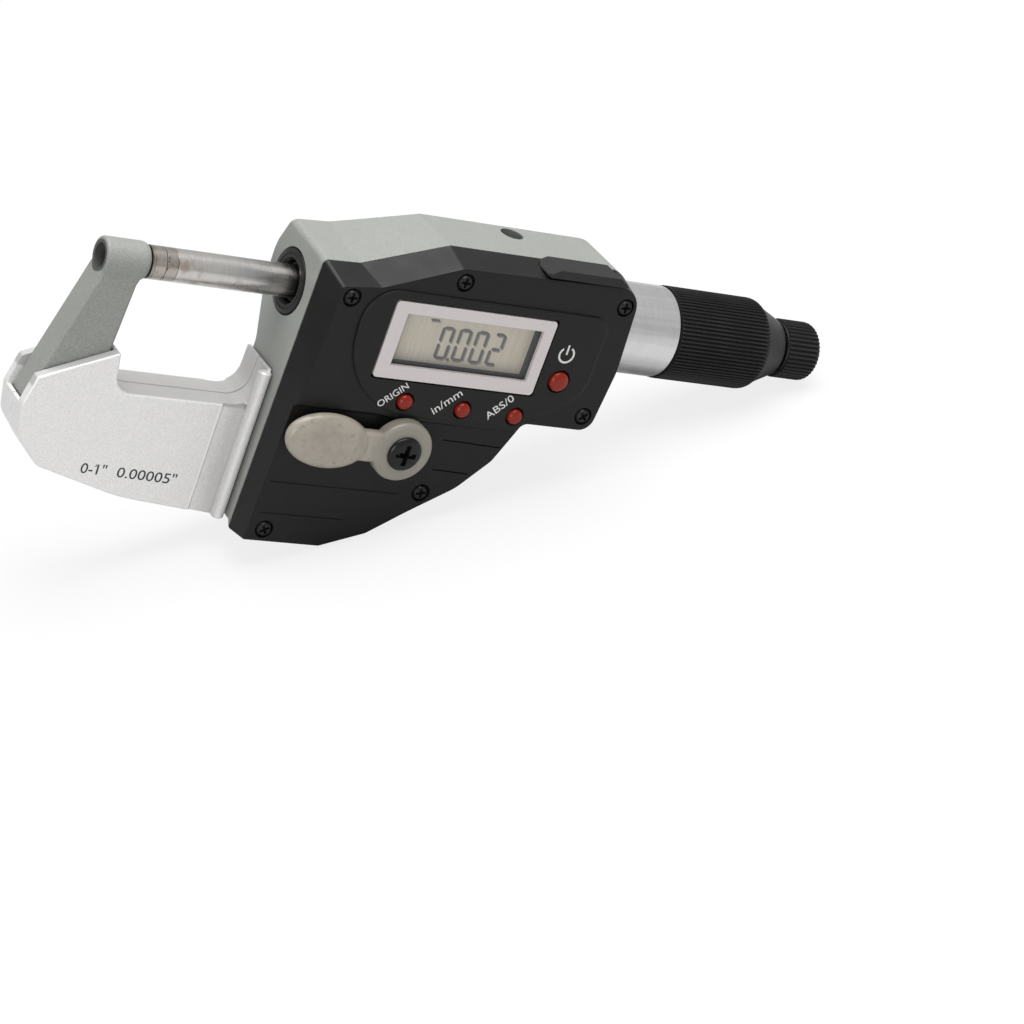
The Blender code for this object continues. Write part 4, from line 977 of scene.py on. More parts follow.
def rib_tree():
    """Tree that rings a turned body with straight ribs of rounded section and rounded ends."""
    recipe, given = tree_with("rib_ring", {
        "Count": 88, "Root Radius": 9.3, "Left": 0.0, "Length": 20.0, "Width": 0.5, "Height": 0.3,
        "Run-out": 0.5, "Bend Radius": 3.0,
    })
    height, bend = given["Height"], given["Bend Radius"]
    block = recipe.node("GeometryNodeMeshCube", {
        "Size": recipe.vector(given["Length"], given["Width"], height),
        "Vertices X": 8, "Vertices Y": 5, "Vertices Z": 2,
    })
    across, side, up = recipe.split(recipe.node("GeometryNodeInputPosition"))
    half = given["Length"] * 0.5
    right, top = across > 0.0, up > 0.0
    step_in = (1.0 - across.math("ABSOLUTE") / half) * 1.166
    run_out = given["Run-out"] * (0.2 + 0.8 * right)
    past = (1.0 - step_in) * given["Run-out"] * right
    drop = bend - (bend * bend - past * past).math("SQRT")
    swell = (step_in * (2.0 - step_in)).math("MAXIMUM", 0.0).math("SQRT")
    edge = side * 2.0 / given["Width"]
    crown = 1.0 - 0.85 * (edge * edge)
    new_across = across.math("SIGN") * (half - run_out * step_in)
    new_up = top * height * crown * swell - (1.0 - top) * height * 1.6 - drop
    shaped = recipe.node(
        "GeometryNodeSetPosition", {"Geometry": block, "Position": recipe.vector(new_across, side, new_up)}
    )
    angle = recipe.node("GeometryNodeInputIndex") * (2.0 * math.pi) / given["Count"]
    y, z = (angle.math(wave) * given["Root Radius"] for wave in ("COSINE", "SINE"))
    ring = recipe.vector(given["Left"] + half, y, z)
    spots = recipe.node("GeometryNodePoints", {"Count": given["Count"], "Position": ring})
    ribs = recipe.node("GeometryNodeInstanceOnPoints", {
        "Points": spots, "Instance": shaped, "Rotation": recipe.rotation(angle - math.pi / 2),
    })
    both = recipe.node("GeometryNodeJoinGeometry", {"Geometry": [given["Geometry"], ribs]})
    return close_tree(recipe, both, given["Material"])


def ribbed(body, radius, rib, count, black, **values):
    """Turned body with a ring of ribs that reach the radius."""
    return grow(
        body, rib_tree(), count=count, root_radius=radius - rib - 0.02, height=rib + 0.02,
        width=2 * math.pi * radius / count * 0.7, material=black, **values,
    )


def screw_tree():
    """Tree that sets a domed head with a cross recess and a shank on each point, facing the front."""
    recipe, given = tree_with("cross_screws", {
        "Head Radius": 1.6, "Head Height": 0.9, "Shank Radius": 0.85, "Shank Length": 8.0,
        "Facing": 0.0, "Seed": 3,
    })
    radius, height, length = given["Head Radius"], given["Head Height"], given["Shank Length"]

    def cylinder(sides, width, depth, rows=1):
        sockets = {"Vertices": sides, "Radius": width, "Depth": depth, "Side Segments": rows}
        return recipe.node("GeometryNodeMeshCylinder", sockets, fill_type="NGON")

    head = cylinder(40, radius, height, 3)
    spot = recipe.node("GeometryNodeInputPosition")
    up = recipe.split(spot)[2]
    top = up > height * 0.3
    shrink = 1.0 - top * 0.24 - (up > 0.0) * (up < height * 0.3) * 0.06
    domed = recipe.times(spot, recipe.vector(shrink, shrink, 1.0))
    head = recipe.node("GeometryNodeSetPosition", {"Geometry": head, "Position": domed})
    wide, thin, core = radius * 1.3, radius * 0.34, radius * 0.62
    arms = []
    for first, second, depth, turn in (
        (wide, thin, 1.5, 0.0), (thin, wide, 1.45, 0.0), (core, core, 2.3, math.pi / 4),
    ):
        cube = recipe.node("GeometryNodeMeshCube", {"Size": recipe.vector(first, second, height * depth)})
        arms.append(recipe.node("GeometryNodeTransform", {
            "Geometry": cube, "Translation": recipe.vector(z=height * 0.6), "Rotation": recipe.vector(z=turn),
        }))
    head = recipe.node(
        "GeometryNodeMeshBoolean", {"Mesh 1": head, "Mesh 2": arms}, operation="DIFFERENCE", solver="EXACT"
    )
    drop = recipe.vector(z=0.0 - (length + height) * 0.5)
    shank = cylinder(24, given["Shank Radius"], length)
    shank = recipe.node("GeometryNodeTransform", {"Geometry": shank, "Translation": drop})
    screw = recipe.node("GeometryNodeJoinGeometry", {"Geometry": [head, shank]})
    draw = {"Min": 0.0, "Max": 3.1, "Seed": given["Seed"]}
    spin = recipe.node("FunctionNodeRandomValue", draw, 1, data_type="FLOAT")
    turn = recipe.node("FunctionNodeRotateRotation", {
        "Rotation": recipe.rotation(math.pi / 2, given["Facing"]), "Rotate By": recipe.rotation(z=spin),
    }, rotation_space="LOCAL")
    screws = recipe.node("GeometryNodeInstanceOnPoints", {
        "Points": given["Geometry"], "Instance": screw, "Rotation": turn,
    })
    return close_tree(recipe, screws, given["Material"])


def lettering(words, height, left, low, depth, turn, shear, stretch):
    """Thin raised print of some words, starting at a point seen from the front."""
    curve = bpy.data.curves.new("words", "FONT")
    curve.body = words
    curve.size = height / 0.7
    curve.shear = shear
    curve.extrude = PRINT_HALF
    curve.offset = 0.01
    curve.resolution_u = 3
    text = placed("words", curve)
    mesh = modified_mesh(text)
    bpy.data.objects.remove(text, do_unlink=True)
    upright = Matrix(((1, 0, 0, left), (0, 0, -1, depth), (0, 1, 0, low), (0, 0, 0, 1)))
    mesh.transform(upright @ Matrix.Rotation(turn, 4, "Z") @ Matrix.Diagonal((stretch, 1, 1, 1)))
    return placed("words", mesh)


def printed(corners, depth):
    """Thin raised print of an outline."""
    return prism(corners, depth - PRINT_HALF, depth + PRINT_HALF)


# Pieces

def housing(edge):
    """Cast body behind the cover: its front outline crossed with a section that swells at the spindle."""
    front = FRAME_FRONT - 4.0
    section = [
        (front, BODY_TOP + 6.0), (BODY_BACK - 8.6, BODY_TOP + 6.0), (BODY_BACK, 4.0, 8.0),
        (BODY_BACK, -4.0, 8.0), (WEB_BACK, -15.0, 5.0), (WEB_BACK, BODY_BOTTOM - 2.0),
        (front, BODY_BOTTOM - 2.0),
    ]
    seam = seam_corners()
    flare = [(max(across, BODY_LEFT), *rest) for across, *rest in between(seam, body_corners(), 0.2)]
    body = loft(
        (FRAME_FRONT - 3.0, seam), (FRAME_FRONT, seam), (FRAME_FRONT + 3.5, flare),
        (BODY_BACK + 1.0, body_corners()),
    )
    soften(trim(body, bar(section, BODY_LEFT - 2.0, BODY_RIGHT + 3.0)), edge)
    side = rectangle(BODY_LEFT - 5.0, BODY_RIGHT + 5.0, BODY_BOTTOM - 5.0, BODY_TOP + 5.0)
    return cut(body, prism(side, FRAME_FRONT - 9.0, FRAME_FRONT))


def boss():
    """Round head of the arm, which holds the anvil."""
    return turned([
        (BOSS_LEFT, 0), (BOSS_LEFT, BOSS_RADIUS - 0.6),
        *arc(BOSS_LEFT + 0.6, BOSS_RADIUS - 0.6, 0.6, 170, 90), (BOSS_RIGHT - 2.0, BOSS_RADIUS),
        *arc(BOSS_RIGHT - 1.5, BOSS_RADIUS - 1.5, 1.5, 80, 0), (BOSS_RIGHT, 0),
    ])


def collar(swell):
    """Round swelling where the sleeve enters the housing."""
    return spun([
        (SLEEVE_LEFT - 16.0, BODY_BACK - 0.3), (SLEEVE_LEFT - 6.0, swell - 0.15),
        (SLEEVE_LEFT - 4.0, swell), (BODY_RIGHT - 0.9, swell), (BODY_RIGHT - 0.5, swell - 0.15),
        (BODY_RIGHT - 0.3, swell - 0.4),
    ])


def pocket():
    """Both hollows of the housing as one shape."""
    inner = inset(body_corners(), WALL)
    left, right, top = BUSH_END + 0.7, SPIGOT_LEFT + 0.7, inner[3][1]
    upper = [
        (left, NOSE_TOP - 1.8, 1.0), (*inner[2][:2], 1.0), (right, top, 1.0), (right, SHELF_Z, 1.0),
        (left, SHELF_Z, 1.0),
    ]
    bend, knee, rest_end, rest, corner = [spot[:2] for spot in inner[7:12]]
    shelf = SHELF_Z + 1.0
    lower = [
        (corner[0], shelf), (bend[0] + 2.0, shelf), bend, knee, (*rest_end, 3.0), rest, (*corner, 1.0),
    ]
    front = FRAME_FRONT - 1.0
    return fuse(prism(upper, front, POCKET_BACK), prism(lower, front, LOWER_POCKET_BACK))


def pin_rods(radius, front, back):
    return [rod("Y", (x, 0, z), radius, front, back) for x, z in PIN_SPOTS]


def casting(edge, flange, sleeve_radius):
    """Casting with its hollows and the bores for anvil, bush, sleeve, plug, lever and battery."""
    bow = soften(prism(bow_corners(), -ARM_HALF, ARM_HALF), edge)
    whole = fuse(housing(edge), bow, boss(), collar(sleeve_radius + 0.6))
    cut(whole, pocket())
    axis = (0, 0, 0)
    return cut(
        whole,
        rod("X", axis, SHANK_RADIUS + SEAT, BOSS_LEFT - 1.0, BOSS_RIGHT + 1.0, 48),
        stepped(
            "X", axis, BODY_LEFT - 1.0, (flange + SEAT, BODY_LEFT + BUSH_FLANGE),
            (BUSH_RADIUS + SEAT, BUSH_END + 1.5),
        ),
        stepped(
            "X", axis, SPIGOT_LEFT - 0.5, (SPIGOT_RADIUS + SEAT, SLEEVE_LEFT - SEAT),
            (sleeve_radius + SEAT, BODY_RIGHT + 4.0),
        ),
        stepped(
            "Z", (KEY_X, 0, 0), BODY_TOP - 6.0, (KEY_RADIUS + SEAT, BODY_TOP - 1.7),
            (PLUG_RADIUS + SEAT, BODY_TOP + 1.0), steps=48,
        ),
        rod("Y", LEVER_PIVOT, CAM_RADIUS + SEAT, LOWER_POCKET_BACK - 1.0, 1.8, 48),
        stepped(
            "Y", (BATTERY_X, 0, BATTERY_Z), BATTERY_FLOOR, (BATTERY_RADIUS + SEAT, CAP_LEDGE),
            (CAP_RADIUS + SEAT, WEB_BACK + 2.0),
        ),
        *pin_rods(PIN_RADIUS + SEAT, -ARM_HALF - 1.0, ARM_HALF + 1.0),
    )


def shell_half(side):
    """One half shell: drafted skin with a groove and a bead, hollowed to take the bow."""
    half = layers(
        shell_corners(), (side * PARTING_GAP / 2, 0.12), (side * (PARTING_GAP / 2 + 0.12), 0.0),
        (side * (SHELL_HALF - 0.35), 0.0), (side * (SHELL_HALF - 0.15), 0.09), (side * SHELL_HALF, 0.3),
    )
    proud, bed = side * (SHELL_HALF + 1.0), side * (SHELL_HALF - GROOVE_DEPTH)
    groove = [
        (GROOVE_LEFT, proud), (GROOVE_LEFT, side * SHELL_HALF, 0.15), (GROOVE_LEFT + 0.35, bed, 0.5),
        (BEAD_X - 0.9, bed, 0.3), (BEAD_X - 0.6, proud),
    ]
    cut(half, column(groove, SHELL_BOTTOM - 1.0, SHELL_FLOOR + 0.6))
    top = SHELL_RIM_Z - 0.4 if side < 0 else SHELL_FLOOR - 2.0
    fuse(half, spun([
        (SHELL_BOTTOM + 0.1, BEAD_RADIUS - 0.3), (SHELL_BOTTOM + 0.4, BEAD_RADIUS),
        (top - 0.3, BEAD_RADIUS), (top, BEAD_RADIUS - 0.3),
    ], "Z", (BEAD_X, side * (SHELL_HALF + 0.07), 0), 48))
    depth = side * (ARM_HALF + SEAT)
    notch = rectangle(SHELL_LEFT - 2.0, SHELL_LEFT + 6.0, NOTCH_Z, -20.0)
    return cut(half, prism(inset(bow_corners(), -SEAT), -side, depth), prism(notch, -side * 1.1, depth))


def front_shell():
    whole = fuse(shell_half(-1), *pin_rods(PIN_RADIUS, -ARM_HALF - 1.2, 1.0))
    return cut(whole, *pin_rods(THREAD_RADIUS + RUN, -ARM_HALF - 0.2, 2.0))


def rear_shell(head_radius):
    parts = (THREAD_RADIUS + SEAT, SHELL_HALF - 1.0), (head_radius + SEAT, SHELL_HALF + 1.0)
    return cut(shell_half(1), *[stepped("Y", (x, 0, z), ARM_HALF - 1.0, *parts) for x, z in PIN_SPOTS])


def screw_sink(up):
    """How much deeper a cover screw sits in the recessed lower part."""
    return LOWER_RECESS if up < -20.0 else 0.0


def cover_block():
    """Cover without its hollow and openings: lofted sides, recessed lower part and raised panel."""
    ridge = face_corners()
    cover = loft(
        (FRAME_FRONT - SEAT, seam_corners()), (COVER_FRONT + 0.3, inset(ridge, -0.05)),
        (COVER_FRONT + 0.1, inset(ridge, 0.05)), (COVER_FRONT, inset(ridge, 0.3)),
    )
    steps = [
        (COVER_FRONT + share * LOWER_RECESS, inset(recess_corners(79.0 - 17.0 * max(share, 0.0)), across))
        for share, across in ((-1.0, 0.0), (0.0, 0.0), (0.15, 0.15), (0.6, 0.45), (0.9, 0.8), (1.0, 1.3))
    ]
    seat = rod("Y", LEVER_PIVOT, 5.4, COVER_FRONT - 4.0, COVER_FRONT + 4.0, 64)
    cut(cover, cut(loft(*steps), seat))
    raised = surround_corners()
    spread = [(across + (1.2 if across > 80.0 else 0.0), *rest) for across, *rest in raised]
    return fuse(cover, loft(
        (PANEL_FRONT, inset(raised, 0.25)), (PANEL_FRONT + 0.08, inset(raised, 0.08)),
        (PANEL_FRONT + 0.2, raised), (COVER_FRONT + 0.05, spread), (COVER_INSIDE + 1.0, spread),
    ))


def cover_hollow(head_radius, back):
    """Space inside the cover, with a post left standing round each screw."""
    left, right, neck, shelf = BUSH_END + 0.7, BODY_RIGHT - 4.0, NECK_X - 1.0, SHELF_Z + 0.5
    upper = [
        (left, NOSE_TOP - 1.8, 1.0), (53.6, BODY_TOP - WALL, 1.0), (right, BODY_TOP - WALL, 2.0),
        (right, shelf, 1.0), (neck, shelf, 0.5), (neck, NECK_Z, 0.5), (left, NECK_Z, 1.0),
    ]
    shallow = upper[:-1] + [(BUSH_END + 9.0, NECK_Z, 1.0), (left, -5.0, 1.0)]
    side, low = BODY_LEFT + WALL, BODY_BOTTOM + WALL + 0.6
    lower = [
        (side, LEVER_Z - 8.0, 1.0), (LEVER_X + 12.0, LEVER_Z - 8.0, 1.0),
        (LEVER_X + 2.5, BODY_BOTTOM + 9.0, 2.0), (REST_X, low, 1.0), (side, low, 1.0),
    ]
    hollow = fuse(
        prism(upper, COVER_INSIDE + 1.5, back + 1.0), prism(shallow, COVER_INSIDE, back + 0.9),
        prism(lower, COVER_INSIDE + 0.6, back + 1.1),
    )
    ends = COVER_INSIDE - 1.0, back + 2.0
    return cut(hollow, *[rod("Y", (x, 0, z), head_radius + 1.2, *ends) for x, z in COVER_SCREW_SPOTS])


def front_cover(head_radius):
    """Moulded cover with its raised display panel, recessed lower part and openings."""
    back = FRAME_FRONT - SEAT
    front = COVER_FRONT - 3.0
    cover = cut(cover_block(), cover_hollow(head_radius, back))
    wide, thin = head_radius + SEAT, THREAD_RADIUS + SEAT
    holes = []
    for x, z in COVER_SCREW_SPOTS:
        face = COVER_FRONT + screw_sink(z)
        holes.append(spun([
            (front, wide + 0.1), (face - 0.1, wide + 0.1), (face + 0.1, wide), (face + 0.9, wide),
            (face + 0.9, thin), (back + 1.0, thin),
        ], "Y", (x, 0, z), 48))
    for x, z, radius in BUTTON_SPOTS.values():
        wide = radius + SEAT
        holes.append(spun([
            (front, wide + 0.15), (PANEL_FRONT + 0.05, wide + 0.15), (PANEL_FRONT + 0.2, wide),
            (COVER_INSIDE + 1.0, wide),
        ], "Y", (x, 0, z), 64))
    bed = COVER_FRONT + LOWER_RECESS + 0.16
    lines = [
        prism(rectangle(left + 0.9, right, up - 0.13, up + 0.13), front, bed)
        for left, right, up in SEAM_LINES
    ]
    cut(
        cover, prism(display_corners(SEAT), front, COVER_INSIDE + 1.0),
        rod("Y", LEVER_PIVOT, CAM_RADIUS + SEAT, front, back + 1.0, 48), *holes, *lines,
    )
    socket = rectangle(PORT_LEFT + 4.5, PORT_RIGHT - 4.5, COVER_FRONT + 1.6, back - 1.0)
    return cut(cover, port_block(SEAT, front, back + 1.0), column(socket, 12.0, 18.0))


def port_block(clearance, front, back):
    """Slab of the port cover, cut slantwise at its left end, grown by a clearance on every side."""
    low = BODY_TOP - 0.9
    slab = [
        (PORT_LEFT, low, 0.3), (PORT_LEFT + 3.2, PORT_TOP, 1.2), (PORT_RIGHT - 2.2, PORT_TOP, 0.6),
        (PORT_RIGHT, BODY_TOP - 0.5, 0.3), (PORT_RIGHT - 0.3, low),
    ]
    ends = [
        (PORT_LEFT - 0.4, COVER_FRONT + 2.4, 0.8), (PORT_LEFT + 3.2, COVER_FRONT - 3.0),
        (PORT_RIGHT + 2.0, COVER_FRONT - 3.0), (PORT_RIGHT + 2.0, FRAME_FRONT + 2.0),
        (PORT_LEFT + 4.2, FRAME_FRONT + 2.0), (PORT_LEFT + 2.6, FRAME_FRONT + 0.2, 0.8),
    ]
    plan = column(inset(ends, -clearance), BODY_TOP - 8.0, PORT_TOP + 4.0)
    return trim(prism(inset(slab, -clearance), front, back), plan)


def segment_digit(figure, left, low, depth):
    """Seven-segment figure as thin bars, seen from the front."""
    half = DIGIT_STROKE / 2
    right, top, middle = left + DIGIT_WIDTH, low + DIGIT_HEIGHT, low + DIGIT_HEIGHT / 2

    def hexagon(start, end):
        return [
            (start, 0.0), (start + half, half), (end - half, half), (end, 0.0), (end - half, -half),
            (start + half, -half),
        ]

    flat = {"a": top - half, "g": middle, "d": low + half}
    upright = {"f": (left, middle), "b": (right, middle), "e": (left, low), "c": (right, low)}
    bars = []
    for name in DIGIT_SEGMENTS[figure]:
        if name in flat:
            shape = [(s, flat[name] + t) for s, t in hexagon(left + half + 0.12, right - half - 0.12)]
        else:
            side, foot = upright[name]
            across = side + (half if side == left else -half)
            shape = [(across + t, s) for s, t in hexagon(foot + 0.2, foot + DIGIT_HEIGHT / 2 - 0.2)]
        bars.append(prism(shape, depth, depth + FOIL))
    return bars


def reading(depth, shift=0.0):
    """The figures 0.002 and a small bar, as the panel shows them."""
    left, low = DIGIT_LEFT + shift, DIGIT_LOW - shift
    shapes = []
    for place, figure in enumerate("0002"):
        shapes += segment_digit(figure, left + place * DIGIT_PITCH, low, depth)
    point = rectangle(left + DIGIT_WIDTH + 0.25, left + DIGIT_WIDTH + 0.8, low - 0.1, low + 0.45, 0.1)
    mark = rectangle(left - 3.2, left - 1.2, low + 7.9, low + 8.3, 0.15)
    return join(*shapes, *[prism(outline, depth, depth + FOIL) for outline in (point, mark)])


def lever():
    """Clamp lever: a domed oval paddle that runs through a neck into its round hub."""
    front, back = LEVER_FRONT, LEVER_BACK
    hub = spun([
        (front, LEVER_RADIUS - 1.0), *arc(front + 1.0, LEVER_RADIUS - 1.0, 1.0, 180, 90),
        (back - 0.3, LEVER_RADIUS), (back, LEVER_RADIUS - 0.3),
    ], "Y", LEVER_PIVOT, 96)
    neck_z = (PADDLE_Z + LEVER_Z) / 2
    neck = rectangle(PADDLE_X + PADDLE_LONG - 3.0, LEVER_X - 2.0, neck_z - NECK_HALF, neck_z + NECK_HALF)
    neck_bar = layers(
        neck, (front + 0.1, 0.9), (front + 0.25, 0.5), (front + 0.6, 0.15), (front + 1.1, 0.0),
        (back - 0.9, 0.1), (back - 0.1, 0.8),
    )
    oval = paddle_corners()
    heart = [(PADDLE_X, PADDLE_Z, 0.0)] * len(oval)
    dome = []
    for angle in (86, 80, 72, 62, 50, 36, 20, 0):
        share = math.cos(math.radians(angle)) ** 0.5
        dome.append((front + 0.9 - 1.85 * math.sin(math.radians(angle)), between(heart, oval, share)))
    paddle = loft(
        *dome, (front + 1.4, inset(oval, 0.1)), (back - 0.7, inset(oval, 0.6)), (back, inset(oval, 1.3))
    )
    return cut(fuse(hub, neck_bar, paddle), rod("Y", LEVER_PIVOT, 2.0, front - 1.0, back + 1.0))


def lever_screw(radius, front, height, shank_radius, shank_end):
    """Large cross-head screw with a rounded edge."""
    body = turned([
        (front, 0), (front + 0.03, radius * 0.5), (front + height * 0.2, radius * 0.84),
        (front + height * 0.45, radius * 0.96), (front + height * 0.7, radius), (front + height, radius),
        (front + height, shank_radius), (shank_end, shank_radius), (shank_end, 0),
    ], "Y", LEVER_PIVOT, 64)
    arm, slot, core = radius * 0.62, radius * 0.15, radius * 0.32
    deep = front + height * 0.8
    x, z = LEVER_X, LEVER_Z
    return cut(body, fuse(
        prism(rectangle(x - arm, x + arm, z - slot, z + slot), front - 1.0, deep),
        prism(rectangle(x - slot, x + slot, z - arm, z + arm), front - 1.2, deep + 0.01),
        prism([(x - core, z), (x, z - core), (x + core, z), (x, z + core)], front - 1.4, deep + 1.2),
    ))


def button_cap(x, z, radius):
    """Domed push button with the flange that keeps it in the cover."""
    top = PANEL_FRONT - BUTTON_RISE
    flange = COVER_INSIDE + SEAT
    back = flange + 2.0 + SEAT - 0.85 - BUTTON_TRAVEL - 0.1
    angles = [math.radians(turn) for turn in range(10, 91, 10)]
    dome = [(top + 0.95 * (1.0 - math.cos(a)), radius * math.sin(a)) for a in angles]
    rim = [(flange, radius), (flange, radius + 0.6), (back, radius + 0.6), (back, 0)]
    return turned([(top, 0), *dome, *rim], "Y", (x, 0, z), 64)


def thimble_body(root):
    """Turned body of the thimble under its ribs, bored for the sleeve's barrel and the screw."""
    bore = BARREL_RADIUS + SEAT
    web = BARREL_END + 0.6
    hole = SCREW_RADIUS - 0.5
    return turned([
        (THIMBLE_LEFT, bore), (THIMBLE_LEFT, root - 0.35), (THIMBLE_LEFT + 0.12, root - 0.12),
        (THIMBLE_LEFT + 0.4, root), *arc(KNURL_END - 1.7, root - 3.0, 3.0, 90, 52),
        (CONE_END - 0.5, CONE_RADIUS + 0.25), (CONE_END - 0.2, CONE_RADIUS + 0.05),
        (CONE_END, CONE_RADIUS - 0.25), (CONE_END, STUB_RADIUS), (STUB_END, STUB_RADIUS), (STUB_END, 1.5),
        (CONE_END, 1.5), (CONE_END, hole), (web, hole), (web, bore), (THIMBLE_LEFT + 3.4, bore),
        (THIMBLE_LEFT + 3.4, bore + 0.7), (THIMBLE_LEFT + 1.6, bore + 0.7), (THIMBLE_LEFT + 1.6, bore),
    ], steps=128)


def knob_body(root, curve):
    """Turned body of the ratchet knob under its ribs."""
    cavity = STUB_RADIUS + SEAT
    return turned([
        (KNOB_LEFT, cavity), (KNOB_LEFT, root - 0.3), (KNOB_LEFT + 0.3, root), (KNOB_END - curve, root),
        *arc(KNOB_END - curve, root - curve, curve, 75, 0), (KNOB_END, 2.75), (KNOB_END - 0.15, 2.6),
        (KNOB_SEAT, 2.6), (KNOB_SEAT, 1.5), (KNOB_WALL_LEFT, 1.5), (KNOB_WALL_LEFT, cavity),
    ])


def knob_screw():
    screw = spun([
        (CONE_END + SEAT, 1.2), (KNOB_SEAT + SEAT, 1.2), (KNOB_SEAT + SEAT, 2.3),
        (KNOB_END - 0.25, 2.3), (KNOB_END - 0.1, 2.15),
    ], steps=64)
    return cut(screw, column(rectangle(KNOB_END - 0.5, KNOB_END + 1.0, -3.0, 3.0), -0.3, 0.3))


# Operators

class Step:
    """What the build steps share: each gets the sizes in millimetres and the colours."""

    def execute(self, context):
        group = context.scene.micrometer_sizes
        values = {name: getattr(group, name) for name in MicrometerSizes.__annotations__}
        given = {name: value / MM if isinstance(value, float) else value for name, value in values.items()}
        self.build(SimpleNamespace(**given), context.scene.micrometer_colours)
        return {"FINISHED"}


class BuildCasting(Step, bpy.types.Operator):
    """Cast frame with its arm, bow and housing."""

    bl_idname = "micrometer.build_casting"
    bl_label = "Casting"

    def build(self, given, tints):
        shape = casting(given.cast_edge, given.bush_flange, given.sleeve_radius)
        settle("casting", shape, "body", enamel_finish("cast_enamel", tints.enamel), "cast_grey", "frame")


class BuildMeasuringFaces(Step, bpy.types.Operator):
    """Anvil and spindle with their hard tips."""

    bl_idname = "micrometer.build_measuring_faces"
    bl_label = "Anvil and spindle"

    def build(self, given, tints):
        radius = given.spindle_radius
        steel = ground_finish("ground_steel", tints.steel, 0.24, 7.0, 1.0)
        hard = ground_finish("lapped_carbide", tints.carbide, 0.22, 9.0, 1.0)
        face = FACE_GAP / 2
        collar_left = BOSS_RIGHT + 0.03
        joint = face + TIP_LENGTH + BRAZE_GAP
        shank = spun([
            (SHANK_END, SHANK_RADIUS - 0.3), (SHANK_END + 0.3, SHANK_RADIUS),
            (collar_left, SHANK_RADIUS), (collar_left, radius - 0.02), (collar_left + 0.02, radius),
            (-joint - 0.04, radius), (-joint, radius - 0.06),
        ])
        settle("anvil_shank", shank, "body", steel, "steel", "anvil")
        for left, piece, body, node in (
            (-face - TIP_LENGTH, "anvil_face", "body", "anvil_tip"),
            (face, "spindle_face", "spindle", "spindle_tip"),
        ):
            right = left + TIP_LENGTH if left > 0 else -face
            tip = spun([
                (left, radius - 0.06), (left + 0.05, radius), (right - 0.05, radius),
                (right, radius - 0.06),
            ])
            settle(piece, tip, body, hard, "carbide", node)
        spindle = spun([
            (joint, radius - 0.06), (joint + 0.04, radius), (SPINDLE_END - 0.4, radius),
            (SPINDLE_END, radius - 0.4),
        ])
        half = KEY_RADIUS + RUN
        groove = rectangle(KEY_X - TRAVEL - half - 0.2, KEY_X + half + 0.2, -half, half)
        cut(spindle, column(groove, 2.45, radius + 1.0))
        settle("spindle_rod", spindle, "spindle", steel, "steel", "spindle")


class BuildBush(Step, bpy.types.Operator):
    """Black ringed bush where the spindle leaves the housing."""

    bl_idname = "micrometer.build_bush"
    bl_label = "Spindle bush"

    def build(self, given, tints):
        flange = given.bush_flange
        bore = given.spindle_radius + RUN
        front = BODY_LEFT - 0.2
        seat = BODY_LEFT + BUSH_FLANGE - SEAT
        ring = turned([
            (front + 0.7, SEAL_RADIUS), (front, SEAL_RADIUS + 0.45), (front, flange - 1.25),
            (front + 0.12, flange - 1.15), (front + 0.12, flange - 1.0), (front, flange - 0.9),
            (front, flange - 0.35), (front + 0.1, flange - 0.1), (front + 0.35, flange), (seat, flange),
            (seat, BUSH_RADIUS), (BUSH_END, BUSH_RADIUS), (BUSH_END, bore), (BODY_LEFT + 3.0, bore),
            (BODY_LEFT + 3.0, SEAL_RADIUS),
        ])
        black = moulded_finish("bush_black", (0.012, 0.012, 0.011), 0.4, 4.0, 0.01)
        settle("bush_ring", ring, "body", black, "black_plastic", "spindle_bush")


class BuildShells(Step, bpy.types.Operator):
    """Silver half shells on the bow, with the printed range."""

    bl_idname = "micrometer.build_shells"
    bl_label = "Shells"

    def build(self, given, tints):
        silver = silver_finish("satin_silver", tints.silver)
        settle("shell_front", front_shell(), "body", silver, "silver_shell", "front_shell")
        settle("shell_rear", rear_shell(given.screw_head), "body", silver, "silver_shell", "rear_shell")
        depth = -SHELL_HALF - PRINT_HALF
        first = lettering('0-1"', 2.2, -5.7, -42.85, depth, -0.012, -0.02, 1.06)
        second = lettering('0.00005"', 2.2, 2.0, -43.0, depth, -0.03, -0.02, 1.16)
        flag = printed([(-2.42, -40.65), (-2.4, -41.05), (-3.0, -41.3)], depth)
        ink = print_finish("dark_print", (0.03, 0.03, 0.032))
        settle("range_print", join(first, second, flag), "body", ink, None)


class BuildCover(Step, bpy.types.Operator):
    """Moulded black front cover."""

    bl_idname = "micrometer.build_cover"
    bl_label = "Front cover"

    def build(self, given, tints):
        black = moulded_finish("cover_moulding", tints.moulding, 0.42, 5.5, 0.018, 0.6)
        settle("cover_moulding", front_cover(given.screw_head), "body", black, "black_plastic", "front_cover")


